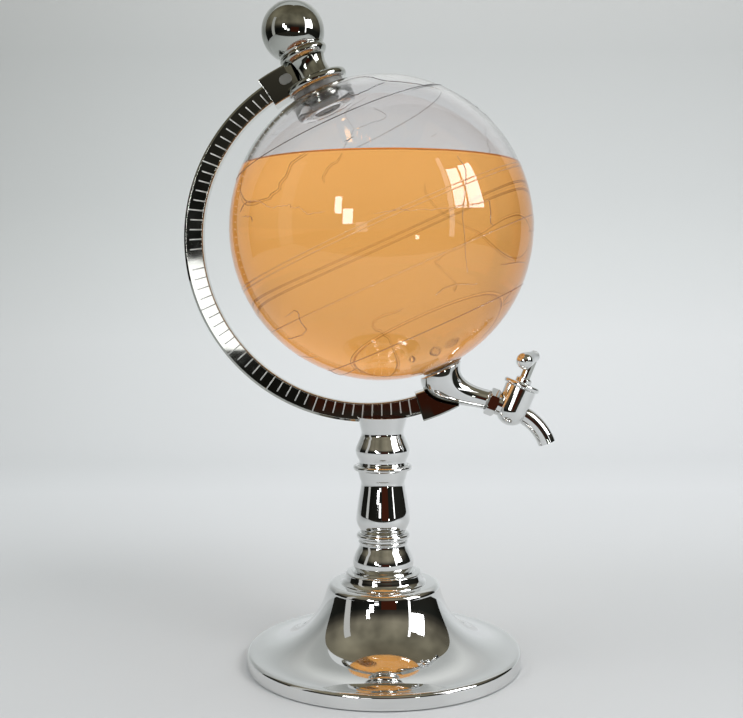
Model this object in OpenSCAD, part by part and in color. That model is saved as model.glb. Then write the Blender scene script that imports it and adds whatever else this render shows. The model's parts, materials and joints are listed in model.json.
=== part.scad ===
// Globe beer dispenser: a clear globe on a graduated arm and a turned column, with a tap below it.
// The origin is the middle of the foot's underside on the table, +Z is up, and -Y is the front.

/* [Globe] */
// Outer diameter of the globe
globe_d = 200; // [160:1:230]
// Wall thickness of the globe
globe_wall = 2.2; // [1.6:0.1:3.5]
// Height of the globe's centre above the table
globe_h = 290; // [270:1:350]
// Lean of the globe's axis from upright, in degrees
tilt = 23.8; // [20:0.1:28]
// Overlap of the two halves at the seam
seam_lap = 2.4; // [1.5:0.1:4]

/* [Filler neck] */
// Bore that the drink is poured through
neck_bore_d = 23; // [18:0.5:24]
// Outer diameter of the neck where the ring holds it
neck_d = 27; // [26:0.5:30]
// Height of the neck's rim above the top of the globe
neck_rise = 7.5; // [6:0.5:10]
// Outer diameter of the clear collar inside the globe
neck_collar_d = 41.2; // [34:0.5:44]
// Depth of that collar below the top of the globe
neck_depth = 15; // [12:0.5:20]

/* [Cap] */
// Diameter of the ball on the cap
ball_d = 41.2; // [34:0.5:46]
// Height of the turned stem between the neck's rim and the ball
cap_stem_h = 20.9; // [17:0.1:26]
// Radius of the cap's foot, which sits on the neck's rim
cap_foot_r = 13.2; // [12:0.1:14]
// Radius of the stem where the ball sits on it
ball_neck_r = 16; // [13:0.1:16.5]
// Section of the sealing rings on the plug
plug_ring_d = 2; // [1.6:0.1:2.2]

/* [Arm] */
// Gap between the globe and the arm's inner edge, before the offset
arm_gap = 8.7; // [8:0.1:14]
// Radial width of the arm
arm_w = 12.6; // [10:0.1:15]
// Thickness of the arm, front to back
arm_t = 8.4; // [7.5:0.1:10]
// Offset of the arm's centre from the globe's axis
arm_offset = 10.8; // [9:0.1:14]
// Drop of the arm's centre along the globe's axis
arm_drop = 2.3; // [0:0.1:4]
// Bevel along the arm's outer edges
arm_bevel = 1.5; // [0.5:0.1:2]
// Length of a short mark
mark_short = 8.2; // [4:0.1:9]
// Length of a long mark
mark_long = 10.4; // [8:0.1:11]
// Degrees between two marks
mark_step = 3; // [3, 5]

/* [Brackets] */
// Depth of the brackets, front to back
bracket_t = 18; // [16:0.5:22]
// Metal between the arm and the bracket's inner and outer faces
bracket_wall = 3.6; // [3:0.1:5]
// Outer diameter of the ring round the neck
ring_d = 42.4; // [38:0.1:46]
// Height of the ring's top above the top of the globe
ring_rise = 7.4; // [5:0.1:9]
// Thickness of the ring
ring_t = 5.9; // [4.8:0.1:6.5]

/* [Outlet] */
// Diameter of the threaded spigot through the globe
spigot_d = 16; // [14:0.5:18]
// Diameter of the elbow's mouth at the globe
mouth_d = 29.5; // [24:0.5:32]
// Diameter of the elbow's end at the tap
elbow_end_d = 13.6; // [13:0.1:15]
// Distance of the elbow's end from the globe's axis
elbow_out = 17.8; // [14:0.1:22]
// Distance of the elbow's end below the globe, along its axis
elbow_fall = 32; // [30:0.1:40]

/* [Tap] */
// Lean of the tap's barrel from upright, in degrees
tap_lean = 22.5; // [15:0.5:28]
// Distance from the elbow's end to the barrel's axis
inlet_len = 18.3; // [17:0.1:24]
// Outer diameter of the barrel
barrel_d = 21.2; // [19:0.1:24]
// Height of the barrel above the inlet's axis
barrel_h = 16; // [15:0.5:20]
// Diameter of the rotor inside the barrel
core_d = 13; // [12:0.1:14]
// Outer diameter of the spout
spout_d = 11.8; // [10:0.1:12.5]
// Bore of the spout
spout_bore_d = 8.8; // [7:0.1:9]
// Radius of the spout's bend along its middle
spout_bend = 37; // [30:1:45]
// Turn of the spout, in degrees
spout_turn = 52; // [40:1:60]
// Diameter of the stem
stem_d = 6.6; // [5.6:0.1:7.4]
// Height of the lever's hub above the barrel
lever_rise = 22.5; // [20:0.5:28]
// Distance between the lever's hub and its round end
lever_len = 14.4; // [12:0.1:20]
// Turn of the lever away from the inlet when the tap is shut, in degrees
lever_yaw = 62; // [40:1:80]
// Droop of the lever, in degrees
lever_droop = 20; // [0:1:25]

/* [Column] */
// Height of the collar on the foot
collar_h = 8.5; // [7:0.1:12]
// Height of the lower baluster
baluster_h = 25.4; // [22:0.1:30]
// Height of the cup, from its ring to the arm's underside
cup_h = 33; // [30:0.5:38]
// Height of the cup's lips beside the arm
cup_lip = 3; // [2:0.1:4]
// Diameter of the tie rod
rod_d = 5; // [4:0.1:5.5]

/* [Foot] */
// Diameter of the foot
foot_d = 184; // [170:1:220]
// Height of the foot's shoulder, which the collar stands on
shoulder_z = 54; // [48:0.5:62]
// Height of the flat rim
rim_h = 10.2; // [8:0.1:13]
// Radius of the flare
flare_r = 49.8; // [44:0.1:50]
// Width of the flat land at the rim
rim_land = 5; // [4:0.5:8]
// Wall thickness of the shell
shell_wall = 1.8; // [1.2:0.1:2.5]
// Thickness of the pad under the foot
pad_t = 1.6; // [1:0.1:3]
// Radius of the iron weight
weight_r = 66; // [55:1:70]

/* [Fits] */
// Radial clearance of a turning or sliding round fit
run_gap = 0.05; // [0.02:0.01:0.1]
// Clearance round a piece that is fastened in place
slot_gap = 0.1; // [0.05:0.05:0.2]
// Gap under the cap's seat and over the rotor
seat_gap = 0.1; // [0.05:0.05:0.3]

/* [Hidden] */

$fn = 96;
arc_sides = 240;
globe_r = globe_d / 2;
neck_r = neck_d / 2;
bore_r = neck_bore_d / 2;
neck_top = globe_r + neck_rise;

// The arm lies in the plane of the globe's axis, round a centre of its own
arm_in = globe_r + arm_gap;
arm_out = arm_in + arm_w;
arm_mid = arm_in + arm_w / 2;
arm_cx = -arm_offset * cos(tilt) + arm_drop * sin(tilt);
arm_cz = globe_h - arm_offset * sin(tilt) - arm_drop * cos(tilt);
arm_under = arm_cz - sqrt(pow(arm_out, 2) - pow(arm_cx, 2));
arm_edge = 0.5;
mark_w = 0.8;
mark_gap = 1.2;
mark_h = 0.4;
rim_line_w = 0.6;
mark_room = arm_w - arm_edge - arm_bevel - slot_gap;

// Places along the arm, in degrees from its axis on an arm of this radius; on any other they keep their length
place_r = 115;
function place(along) = along / place_r * 180 / PI;
cap_gap = 0.5;
eye_r = max(cap_foot_r + cap_gap, neck_r + slot_gap);
mouth_off = 1.9;
arm_end_up = 2.3 + place(eye_r - arm_offset - 2.9);
arm_end_low = 3.9 + place(mouth_d / 2 + mouth_off - arm_offset - 5.85);
cover_at_up = arm_end_up + 0.9;
screw_at_up = arm_end_up + 1.4;
bracket_left_up = arm_end_up + 8.3;
bracket_right_up = -2;
screw_at_low = arm_end_low + 1.3;
bracket_left_low = arm_end_low + 3.2;
bracket_right_low = 6.3;
tongue_at = 1.8;
tongue_end = 4.7;
tongue_turn = 0.4;
slot_turn = 0.05;
screw_out_up = 1;
tongue_out = 1.5;

// One small machine screw serves both brackets
screw_r = 1.5;
screw_head_r = 2.8;
screw_head_h = 2;
screw_web = 4;
block_edge = 1;
low_bracket_t = bracket_t - 1;
low_wall_in = bracket_wall - 1.6;
low_wall_out = bracket_wall + 1;
tongue_wall = 2;
ring_r = ring_d / 2;
ring_low = globe_r + ring_rise - ring_t;
ring_edge = 2.8;
cover_long = 8.6;
cover_wide = 6.6;
cover_t = 1.2;
cover_proud = 0.3;

// The column stands on the foot and ends under the arm
collar_z = shoulder_z;
baluster_z = collar_z + collar_h;
vase_z = baluster_z + baluster_h;
cup_z = arm_under - cup_h;
vase_h = cup_z - vase_z;
spigot_h = 3;
register_r = 9;
rod_gap = 0.25;
rod_bore_r = rod_d / 2 + rod_gap;
rod_grip = 7;

foot_r = foot_d / 2;
flare_x = foot_r - rim_land;
flare_z = rim_h + flare_r;
edge_r = 2.5;
shoulder_round = 4;
shoulder_r = flare_x - sqrt(pow(flare_r, 2) - pow(flare_z - shoulder_z + shoulder_round, 2));
rim_gap = 0.8;
cover_z = pad_t;
cover_plate = 2;
weight_z = cover_z + cover_plate;
weight_gap = 1.5;
weight_hub_r = 20;
nut_h = 4;
nut_af = 8;
washer_t = 1.5;
washer_r = 9;
nut_z = weight_z + 4;
rod_z = nut_z - 2;
plate_screw_r = 50;

// The outlet stack, measured along the globe's axis from its centre
boss_r = spigot_d / 2 + 5.6;
boss_t = 5.5;
gasket_t = 1;
inner_gasket_t = 1.5;
outlet_nut_h = 6;
outlet_nut_af = spigot_d + 8;
mouth_z = -(globe_r + gasket_t);
nut_seat = -(globe_r - boss_t) + inner_gasket_t;
spigot_top = nut_seat + outlet_nut_h + 0.5;
outlet_bore_r = spigot_d / 2 - 2.5;
elbow_bore_r = 4;
knee_r = 4.2;
socket_wall = 1.6;
socket_r = elbow_end_d / 2 - socket_wall;
socket_depth = 8;
washer_gap = 1;
neck_washer_w = 3.7;
elbow_z = -(globe_r + elbow_fall);
elbow_rings = 16;
elbow_sides = 32;

// The tap, measured from where the inlet meets the barrel's axis
barrel_r = barrel_d / 2;
core_r = core_d / 2;
core_low = -5.8;
core_top = barrel_h - 4.2;
port_r = 3;
bonnet_r = barrel_r + 1.7;
bonnet_t = 3.5;
bonnet_edge = 1.5;
boss_up = 3.6;
boss_up_r = 5.4;
bonnet_plug_r = core_r + 1.9;
bonnet_plug_h = 4;
nut_space = 0.3;
lock_nut_r = elbow_end_d / 2 + 2.5;
lock_nut_h = inlet_len - washer_gap - barrel_r - nut_space;
lock_nut_edge = 0.9;
inlet_r = elbow_end_d / 2 + 0.4;
nipple_r = socket_r - run_gap;
nipple_len = 7;
inlet_bore_r = 3.2;
spout_start = 5;
stem_r = stem_d / 2;
stem_foot_r = 2;
stem_foot_h = 5;
stem_top_r = stem_r - 0.7;
stem_top_h = 2.8;
stem_thread_r = 1.25;
lever_head_r = 2.2;
lever_z = barrel_h + lever_rise;
hub_r = stem_r + 0.7;
round_r = 5.6;
core_ring_d = 1.6;

// The cap, measured along the globe's axis
cap_seat = neck_top + seat_gap;
ball_z = cap_seat + cap_stem_h + sqrt(pow(ball_d / 2, 2) - pow(ball_neck_r, 2));
plug_r = bore_r - 1.7;
plug_low = globe_r - neck_depth + 0.3;
plug_ring_r = bore_r - run_gap - plug_ring_d / 2;
plug_grip = 5;
plug_spigot_r = 6;
plug_edge = 1.5;
plug_ring_step = 6.5;
cap_screw_r = 2;
cap_screw_head_r = 3.6;

chrome = [0.8, 0.81, 0.82];
dark_chrome = [0.42, 0.43, 0.42];
clear = [0.85, 0.86, 0.9, 0.35];
rubber = [0.16, 0.16, 0.17];
silicone = [0.9, 0.9, 0.88];
steel = [0.62, 0.63, 0.65];

// The globe's frame: its centre is the origin and +Z runs along the leaning axis
module on_axis() translate([0, 0, globe_h]) rotate([0, -tilt, 0]) children();

// The arm's frame: XY is the arm's plane, and +Z points to the front
module on_arm() on_axis() translate([-arm_offset, 0, -arm_drop]) rotate([90, 0, 0]) children();

// The tap's frame: +Z runs up the barrel and +X away from the globe
module on_tap() on_axis() translate([elbow_out, 0, elbow_z])
  rotate([0, tilt + tap_lean, 0]) translate([inlet_len, 0, 0]) children();

// The angle of a place on this arm
function arm_turn(place) = place * place_r / arm_mid;

// A point on a smooth curve through four neighbours, at t from 0 to 1 between the middle two
function between(a, b, c, d, t) =
  0.5 * (2 * b + (c - a) * t + (2 * a - 5 * b + 4 * c - d) * t * t + (3 * b - a - 3 * c + d) * t * t * t);

// A turned outline through [radius, height] keys
function turned(keys, steps = 7) = [
  for (i = [0 : len(keys) - 2]) for (s = [0 : steps - 1])
    between(keys[max(i - 1, 0)], keys[i], keys[i + 1], keys[min(i + 2, len(keys) - 1)], s / steps),
  keys[len(keys) - 1]
];

function bezier(p, t) =
  pow(1 - t, 3) * p[0] + 3 * t * pow(1 - t, 2) * p[1] + 3 * t * t * (1 - t) * p[2] + pow(t, 3) * p[3];

// Distance from the globe's centre to a circle of radius r round the arm's centre, at a latitude
function arm_reach(r, lat) = let (dot = arm_offset * cos(lat) - arm_drop * sin(lat))
  dot + sqrt(dot * dot - pow(arm_offset, 2) - pow(arm_drop, 2) + r * r);

// The globe's latitude at a turn of the arm's inner edge: the marks end clear of both brackets
function arm_lat(turn) = atan2(arm_in * cos(turn) - arm_drop, arm_offset + arm_in * sin(turn));
mark_low = arm_lat(180 - arm_turn(bracket_left_low)) + mark_gap;
mark_first = max(-75, mark_step * ceil(mark_low / mark_step));
mark_last = min(72, arm_lat(arm_turn(bracket_left_up)) - mark_gap);

module lathe(outline, bore = 0) rotate_extrude()
  polygon(concat([[bore, outline[0][1]]], outline, [[bore, outline[len(outline) - 1][1]]]));

module tube(r_out, r_in, z0, z1) translate([0, 0, z0]) difference() {
  cylinder(r = r_out, h = z1 - z0);
  translate([0, 0, -1]) cylinder(r = r_in, h = z1 - z0 + 2);
}

module torus(r, d, z) translate([0, 0, z]) rotate_extrude() translate([r, 0]) circle(d = d, $fn = 32);

// A piece of the ring between two radii round the arm's centre, with bevelled edges
module arc_block(r0, r1, from, to, thick, bevel_in, bevel_out) let (half = thick / 2)
  rotate([0, 0, from]) rotate_extrude(angle = to - from, $fn = arc_sides) polygon([
    [r0, bevel_in - half], [r0 + bevel_in, -half], [r1 - bevel_out, -half], [r1, bevel_out - half],
    [r1, half - bevel_out], [r1 - bevel_out, half], [r0 + bevel_in, half], [r0, half - bevel_in]
  ]);

// A screw along +Z with its head's top at the origin
module screw(len) {
  translate([0, 0, -screw_head_h]) cylinder(r = screw_head_r, h = screw_head_h, $fn = 40);
  translate([0, 0, -len]) cylinder(r = screw_r, h = len - screw_head_h, $fn = 32);
}

module screw_hole(len) {
  translate([0, 0, -screw_head_h - slot_gap])
    cylinder(r = screw_head_r + slot_gap, h = screw_head_h + 10, $fn = 40);
  translate([0, 0, -len - slot_gap]) cylinder(r = screw_r + run_gap, h = len, $fn = 32);
}

// The foot's outline, drawn in by an inset
module foot_outline(inset) difference() {
  union() {
    square([shoulder_r - shoulder_round, shoulder_z - inset]);
    square([flare_x, shoulder_z - shoulder_round]);
    translate([shoulder_r - shoulder_round, shoulder_z - shoulder_round]) circle(r = shoulder_round - inset);
    square([foot_r - edge_r, rim_h - inset]);
    square([foot_r - inset, rim_h - edge_r]);
    translate([foot_r - edge_r, rim_h - edge_r]) circle(r = max(edge_r - inset, 0.2));
  }
  translate([flare_x, flare_z]) circle(r = flare_r + inset, $fn = 180);
}

module base_pad() color(rubber) cylinder(r = foot_r - shell_wall - 2, h = pad_t);

module base_cover() color(rubber) difference() {
  translate([0, 0, cover_z]) cylinder(r = foot_r - shell_wall - 0.2, h = cover_plate);
  for (a = [30 : 120 : 270]) rotate([0, 0, a]) translate([plate_screw_r, 0, cover_z - 1]) {
    cylinder(r = screw_r + slot_gap, h = cover_plate + 2, $fn = 32);
    cylinder(r = screw_head_r + slot_gap, h = 2.2, $fn = 40);
  }
}

module cover_screws() color(steel) for (a = [30 : 120 : 270])
  rotate([0, 0, a]) translate([plate_screw_r, 0, cover_z]) {
    cylinder(r = screw_head_r, h = 1.2, $fn = 40);
    cylinder(r = screw_r, h = 12, $fn = 32);
  }

module base_weight() color([0.25, 0.25, 0.26]) difference() {
  rotate_extrude() difference() {
    union() {
      intersection() {
        foot_outline(shell_wall + weight_gap);
        translate([0, weight_z]) square([weight_r, shoulder_z]);
      }
      translate([0, weight_z]) square([weight_hub_r, shoulder_z - shell_wall - weight_z]);
    }
    square([rod_bore_r, shoulder_z]);
    square([washer_r + 1, nut_z + nut_h + washer_t]);
  }
  for (a = [30 : 120 : 270]) rotate([0, 0, a]) translate([plate_screw_r, 0, 0])
    cylinder(r = screw_r + run_gap, h = 14, $fn = 32);
}

module base_shell() color(chrome) rotate_extrude() difference() {
  foot_outline(0);
  foot_outline(shell_wall);
  square([foot_r, rim_gap]);
  square([rod_bore_r, shoulder_z + 1]);
}

module tie_rod() color(steel) translate([0, 0, rod_z])
  cylinder(d = rod_d, h = arm_under + rod_grip - rod_z, $fn = 40);

module rod_nut() color(steel) difference() {
  translate([0, 0, nut_z]) cylinder(d = nut_af / cos(30), h = nut_h, $fn = 6);
  cylinder(d = rod_d + 2 * run_gap, h = shoulder_z, $fn = 40);
}

module rod_washer() color(steel) tube(washer_r, rod_bore_r, nut_z + nut_h, nut_z + nut_h + washer_t);

// A turned column piece: its outline, the recess for the spigot below and its own spigot
module column_piece(outline, spigot = true, recess = true) difference() {
  union() {
    lathe(outline, rod_bore_r);
    if (spigot) let (top = outline[len(outline) - 1][1])
      tube(register_r, rod_bore_r, top - 1, top + spigot_h);
  }
  if (recess) translate([0, 0, outline[0][1] - 1])
    cylinder(r = register_r + slot_gap, h = spigot_h + 1 + slot_gap);
}

module column_collar() color(chrome) column_piece(concat(
  [[28.8, collar_z], [28.4, collar_z + 0.7]],
  turned([
    [27.8, collar_z + 1.2], [26.6, collar_z + 2.6], [26, collar_z + 4.4], [25.5, collar_z + collar_h - 2.6]
  ], 4),
  [for (a = [15 : 25 : 90]) [24.2 + 1.3 * cos(a), collar_z + collar_h - 2.4 + 1.3 * sin(a)]],
  [[21.6, collar_z + collar_h - 0.9], [21.2, collar_z + collar_h]]), recess = false);

module lower_baluster() color(chrome) {
  column_piece(turned([
    [18.8, baluster_z], [20.2, baluster_z + 3.2], [20.3, baluster_z + 7], [18.6, baluster_z + 11.6],
    [16.4, baluster_z + 15.8], [15.9, baluster_z + 18.6], [16.1, baluster_z + baluster_h]
  ]));
  difference() {
    union() {
      torus(15.6, 2.4, baluster_z + baluster_h - 6.2);
      torus(16.2, 3.6, baluster_z + baluster_h - 2.2);
    }
    cylinder(r = register_r + 4, h = vase_z);
  }
}

module column_vase() color(chrome) column_piece(turned([
  [14.8, vase_z], [15.2, vase_z + 0.03 * vase_h], [17.6, vase_z + 0.15 * vase_h],
  [18, vase_z + 0.26 * vase_h], [16.6, vase_z + 0.5 * vase_h], [14.7, vase_z + 0.78 * vase_h],
  [15.6, vase_z + 0.88 * vase_h], [16.9, vase_z + vase_h]
]));

module column_cup() color(chrome) difference() {
  union() {
    column_piece(turned([
      [16.6, cup_z], [16.4, cup_z + 3.6], [15.9, cup_z + 6.4], [17.8, cup_z + 11],
      [18, cup_z + 14.8], [15.4, cup_z + 21.2], [14.1, cup_z + cup_h - 8],
      [15.4, cup_z + cup_h - 2], [16.9, cup_z + cup_h + cup_lip]
    ]), spigot = false);
    difference() {
      torus(18, 3.6, cup_z + 2);
      cylinder(r = register_r + 4, h = globe_h);
    }
  }
  on_arm() translate([0, 0, -arm_t / 2 - slot_gap])
    cylinder(r = arm_out + slot_gap, h = arm_t + mark_h + 2 * slot_gap, $fn = arc_sides);
}

// Places of the screws: the upper one enters from the front under its cover, the lower two from behind
module at_upper_screw() on_arm() rotate([0, 0, 90 + arm_turn(screw_at_up)])
  translate([arm_mid + screw_out_up, 0, bracket_t / 2 - cover_t]) children();

module at_cover() on_arm() rotate([0, 0, 90 + arm_turn(cover_at_up)])
  translate([arm_mid + screw_out_up, 0, bracket_t / 2 - cover_t]) children();

module at_lower_screw() on_arm() rotate([0, 0, 270 - arm_turn(screw_at_low)])
  translate([arm_mid, 0, -low_bracket_t / 2]) rotate([180, 0, 0]) children();

module at_elbow_screw() on_arm() rotate([0, 0, 270 + arm_turn(tongue_at)])
  translate([arm_mid + tongue_out, 0, -low_bracket_t / 2]) rotate([180, 0, 0]) children();

// The arm carries a short mark every step, a long one every 15 degrees of latitude, and a line along them
module meridian_arm() color(dark_chrome) difference() {
  union() {
    on_arm() arc_block(arm_in, arm_out, 90 + arm_turn(arm_end_up), 270 - arm_turn(arm_end_low),
      arm_t, arm_edge, arm_bevel);
    on_arm() rotate([0, 0, 90 + arm_turn(bracket_left_up)])
      rotate_extrude(angle = 180 - arm_turn(bracket_left_up + bracket_left_low), $fn = arc_sides)
        translate([arm_in + arm_edge, arm_t / 2 - 1]) square([rim_line_w, 1 + mark_h]);
    on_axis() rotate([90, 0, 0]) for (lat = [mark_first : mark_step : mark_last])
      rotate([0, 0, 180 - lat]) translate([arm_reach(arm_in + arm_edge, lat), -mark_w / 2, arm_t / 2 - 1])
        cube([min(lat % 15 == 0 ? mark_long : mark_short, mark_room), mark_w, 1 + mark_h]);
  }
  translate([0, 0, arm_under - 5]) cylinder(r = rod_d / 2 + run_gap, h = rod_grip + 5.5, $fn = 40);
  at_upper_screw() translate([0, 0, -2 * arm_t]) cylinder(r = screw_r + slot_gap, h = 3 * arm_t, $fn = 32);
  at_lower_screw() translate([0, 0, -2 * arm_t]) cylinder(r = screw_r + slot_gap, h = 3 * arm_t, $fn = 32);
}

// The space that the arm's end takes inside a bracket
module arm_slot(from, to)
  arc_block(arm_in - slot_gap, arm_out + slot_gap, from, to, arm_t + 2 * slot_gap, 0, 0);

module upper_bracket() color(dark_chrome) difference() {
  union() {
    on_arm() arc_block(arm_in - bracket_wall, arm_out + bracket_wall,
      90 + arm_turn(bracket_right_up), 90 + arm_turn(bracket_left_up), bracket_t, block_edge, block_edge);
    on_axis() rotate_extrude() {
      translate([0, ring_low]) square([ring_r - ring_edge, ring_t]);
      translate([0, ring_low + ring_edge]) square([ring_r, ring_t - 2 * ring_edge]);
      for (z = [ring_low + ring_edge, ring_low + ring_t - ring_edge])
        translate([ring_r - ring_edge, z]) circle(r = ring_edge, $fn = 48);
    }
  }
  on_axis() sphere(r = globe_r + washer_gap, $fn = 180);
  on_axis() cylinder(r = eye_r, h = 2 * globe_r);
  on_axis() translate([0, 0, cap_seat + 0.62 * cap_stem_h])
    cylinder(r = ball_neck_r + 2 * cap_gap, h = globe_r);
  on_axis() translate([0, -bracket_t, ring_low + ring_t]) cube([globe_r, 2 * bracket_t, globe_r]);
  on_arm() arm_slot(90 + arm_turn(arm_end_up - slot_turn), 90 + arm_turn(bracket_left_up + 1));
  at_upper_screw() screw_hole(bracket_t - cover_t - screw_web);
  at_cover() cover_shape(cover_long / 2 + slot_gap, cover_wide / 2 + slot_gap, cover_t + 1);
}

// An oval of two half rounds and the flats between them
module cover_shape(long_r, wide_r, h) linear_extrude(h) union() {
  for (s = [-1, 1]) translate([0, s * (long_r - wide_r)]) circle(r = wide_r, $fn = 48);
  square([2 * wide_r, 2 * (long_r - wide_r)], center = true);
}

module arm_screw_upper() color(steel) at_upper_screw() screw(bracket_t - cover_t - screw_web);

module screw_cap() color(dark_chrome) at_cover() {
  cover_shape(cover_long / 2, cover_wide / 2, cover_t);
  cover_shape(cover_long / 2 - 0.5, cover_wide / 2 - 0.5, cover_t + cover_proud);
}

// The elbow lies in the bracket's back half and shows whole from the front
module lower_bracket() color(dark_chrome) difference() {
  on_arm() arc_block(arm_in - low_wall_in, arm_out + low_wall_out,
    270 - arm_turn(bracket_left_low), 270 + arm_turn(bracket_right_low),
    low_bracket_t, block_edge, block_edge);
  on_arm() arm_slot(270 - arm_turn(bracket_left_low + 1), 270 + arm_turn(bracket_right_low + 1));
  on_axis() elbow_skin(slot_gap);
  on_axis() rotate([90, 0, 0]) linear_extrude(bracket_t) polygon(concat(
    [for (i = [0 : elbow_rings - 1]) elbow_side(i, 1)],
    [for (i = [elbow_rings - 1 : -1 : 0]) elbow_side(i, -1)]));
  at_lower_screw() screw_hole(bracket_t - screw_web);
  at_elbow_screw() screw_hole(bracket_t - screw_web);
}

module arm_screw_lower() color(steel) at_lower_screw() screw(bracket_t - screw_web);

module elbow_screw() color(steel) at_elbow_screw() screw(bracket_t - screw_web);

// The outline of the globe's wall
module globe_wall_outline() difference() {
  circle(r = globe_r, $fn = arc_sides);
  circle(r = globe_r - globe_wall, $fn = arc_sides);
}

module globe_lower() color(clear) on_axis() rotate_extrude($fn = arc_sides) difference() {
  union() {
    intersection() {
      globe_wall_outline();
      translate([0, -2 * globe_r]) square([2 * globe_r, 2 * globe_r - seam_lap]);
    }
    intersection() {
      difference() {
        circle(r = globe_r - globe_wall / 2 - run_gap, $fn = arc_sides);
        circle(r = globe_r - globe_wall, $fn = arc_sides);
      }
      translate([0, -2 * seam_lap]) square([2 * globe_r, 2 * seam_lap]);
    }
    translate([0, -globe_r]) square([boss_r, boss_t]);
  }
  translate([0, -globe_r - 1]) square([spigot_d / 2 + 0.3, globe_r]);
}

module globe_upper() color(clear) on_axis() rotate_extrude($fn = arc_sides) difference() {
  union() {
    intersection() {
      globe_wall_outline();
      square([2 * globe_r, 2 * globe_r]);
    }
    intersection() {
      difference() {
        circle(r = globe_r, $fn = arc_sides);
        circle(r = globe_r - globe_wall / 2, $fn = arc_sides);
      }
      translate([0, -seam_lap]) square([2 * globe_r, 2 * seam_lap]);
    }
    square([neck_r, neck_top]);
    intersection() {
      circle(r = globe_r - globe_wall / 2, $fn = arc_sides);
      union() {
        translate([0, globe_r - neck_depth]) square([neck_collar_d / 2 - 4, neck_depth]);
        translate([0, globe_r - neck_depth + 4]) square([neck_collar_d / 2, neck_depth]);
        translate([neck_collar_d / 2 - 4, globe_r - neck_depth + 4]) circle(r = 4, $fn = 48);
      }
    }
  }
  square([bore_r, 2 * globe_r]);
  square([neck_collar_d, globe_r - neck_depth]);
}

// The washer fills the gap between the globe and the bracket's ring
module neck_washer() color(silicone) on_axis() rotate_extrude($fn = arc_sides) difference() {
  translate([neck_r + 0.3, globe_r * 0.9]) square([neck_washer_w, ring_low - slot_gap - globe_r * 0.9]);
  circle(r = globe_r + slot_gap, $fn = arc_sides);
}

// Outline keys of the cap's stem, with each height as a share of the stem's
function on_stem(keys) = [for (k = keys) [k[0], cap_seat + k[1] * cap_stem_h]];

module cap_knob() color(dark_chrome) on_axis() difference() {
  rotate_extrude() {
    polygon(concat([[0, cap_seat]], turned(on_stem([
      [cap_foot_r, 0], [cap_foot_r - 0.7, 0.11], [cap_foot_r - 1.4, 0.28], [cap_foot_r - 1.5, 0.43],
      [cap_foot_r - 0.8, 0.57], [cap_foot_r - 0.2, 0.64]
    ]), 5), turned(on_stem([
      [ball_neck_r - 1.6, 0.68], [ball_neck_r, 0.78], [ball_neck_r + 0.1, 0.87], [ball_neck_r - 0.7, 0.94],
      [ball_neck_r - 0.5, 0.97]
    ]), 5), on_stem([[ball_neck_r - 0.3, 1], [0, 1]])));
    intersection() {
      translate([0, ball_z]) circle(d = ball_d, $fn = 120);
      translate([0, ball_z - ball_d]) square([ball_d, 2 * ball_d]);
    }
  }
  translate([0, 0, cap_seat - 1]) cylinder(r = cap_screw_r + run_gap, h = 14, $fn = 32);
  translate([0, 0, cap_seat - 1]) cylinder(r = plug_spigot_r + slot_gap, h = plug_grip + 1, $fn = 48);
}

// The plug steps up into the knob, and its rings sit in grooves
module cap_plug() color(rubber) on_axis() difference() {
  union() {
    translate([0, 0, plug_low + plug_edge]) cylinder(r = plug_r, h = cap_seat - plug_low - plug_edge);
    translate([0, 0, plug_low]) cylinder(r1 = plug_r - plug_edge, r2 = plug_r, h = plug_edge);
    translate([0, 0, plug_low])
      cylinder(r = plug_spigot_r, h = cap_seat + plug_grip - plug_low - slot_gap, $fn = 48);
  }
  for (i = [0 : 2]) torus(plug_ring_r, plug_ring_d + 2 * run_gap, plug_ring_z(i));
  cylinder(r = cap_screw_r + slot_gap, h = 2 * globe_r, $fn = 32);
  cylinder(r = cap_screw_head_r + 2 * slot_gap, h = plug_low + 3, $fn = 40);
}

function plug_ring_z(i) = plug_low + 4.5 + i * plug_ring_step;

module plug_rings() color(silicone) on_axis()
  for (i = [0 : 2]) torus(plug_ring_r, plug_ring_d, plug_ring_z(i));

module cap_screw() color(steel) on_axis() {
  translate([0, 0, plug_low + 0.8]) cylinder(r = cap_screw_head_r, h = 2.2, $fn = 40);
  translate([0, 0, plug_low + 2]) cylinder(r = cap_screw_r, h = cap_seat + 11 - plug_low, $fn = 32);
}

module outlet_gasket() color(silicone) on_axis()
  tube(boss_r - 1.6, spigot_d / 2 + 0.2, mouth_z, mouth_z + gasket_t);

module inner_gasket() color(silicone) on_axis()
  tube(boss_r - 1, spigot_d / 2 + 0.2, nut_seat - inner_gasket_t, nut_seat);

module outlet_nut() color([0.88, 0.88, 0.86]) on_axis() difference() {
  translate([0, 0, nut_seat]) cylinder(d = outlet_nut_af / cos(30), h = outlet_nut_h, $fn = 6);
  translate([0, 0, nut_seat - 1]) cylinder(r = spigot_d / 2 + run_gap, h = outlet_nut_h + 2);
}

// The elbow's middle line bends from the globe's outlet to the tap, and its rings turn with it
elbow_path = [
  [-mouth_off, mouth_z], [-mouth_off - 6.1, mouth_z - 13],
  [elbow_out - 14.3, mouth_z - 20], [elbow_out, elbow_z]
];
elbow_turn = 90 - tilt - tap_lean;
bore_run = elbow_out / sin(elbow_turn);
bore_knee = elbow_z + elbow_out / tan(elbow_turn);
function elbow_point(t) = bezier(elbow_path, t);
function elbow_radius(t) = elbow_end_d / 2 + (mouth_d - elbow_end_d) / 2 * pow(cos(90 * t), 2);

// A point on the elbow's outline from the front, on the side towards the tap (1) or away from it (-1)
function elbow_side(i, side) = let (t = i / (elbow_rings - 1), r = side * (elbow_radius(t) + slot_gap))
  elbow_point(t) + r * [cos(elbow_turn * t), sin(elbow_turn * t)];

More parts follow.
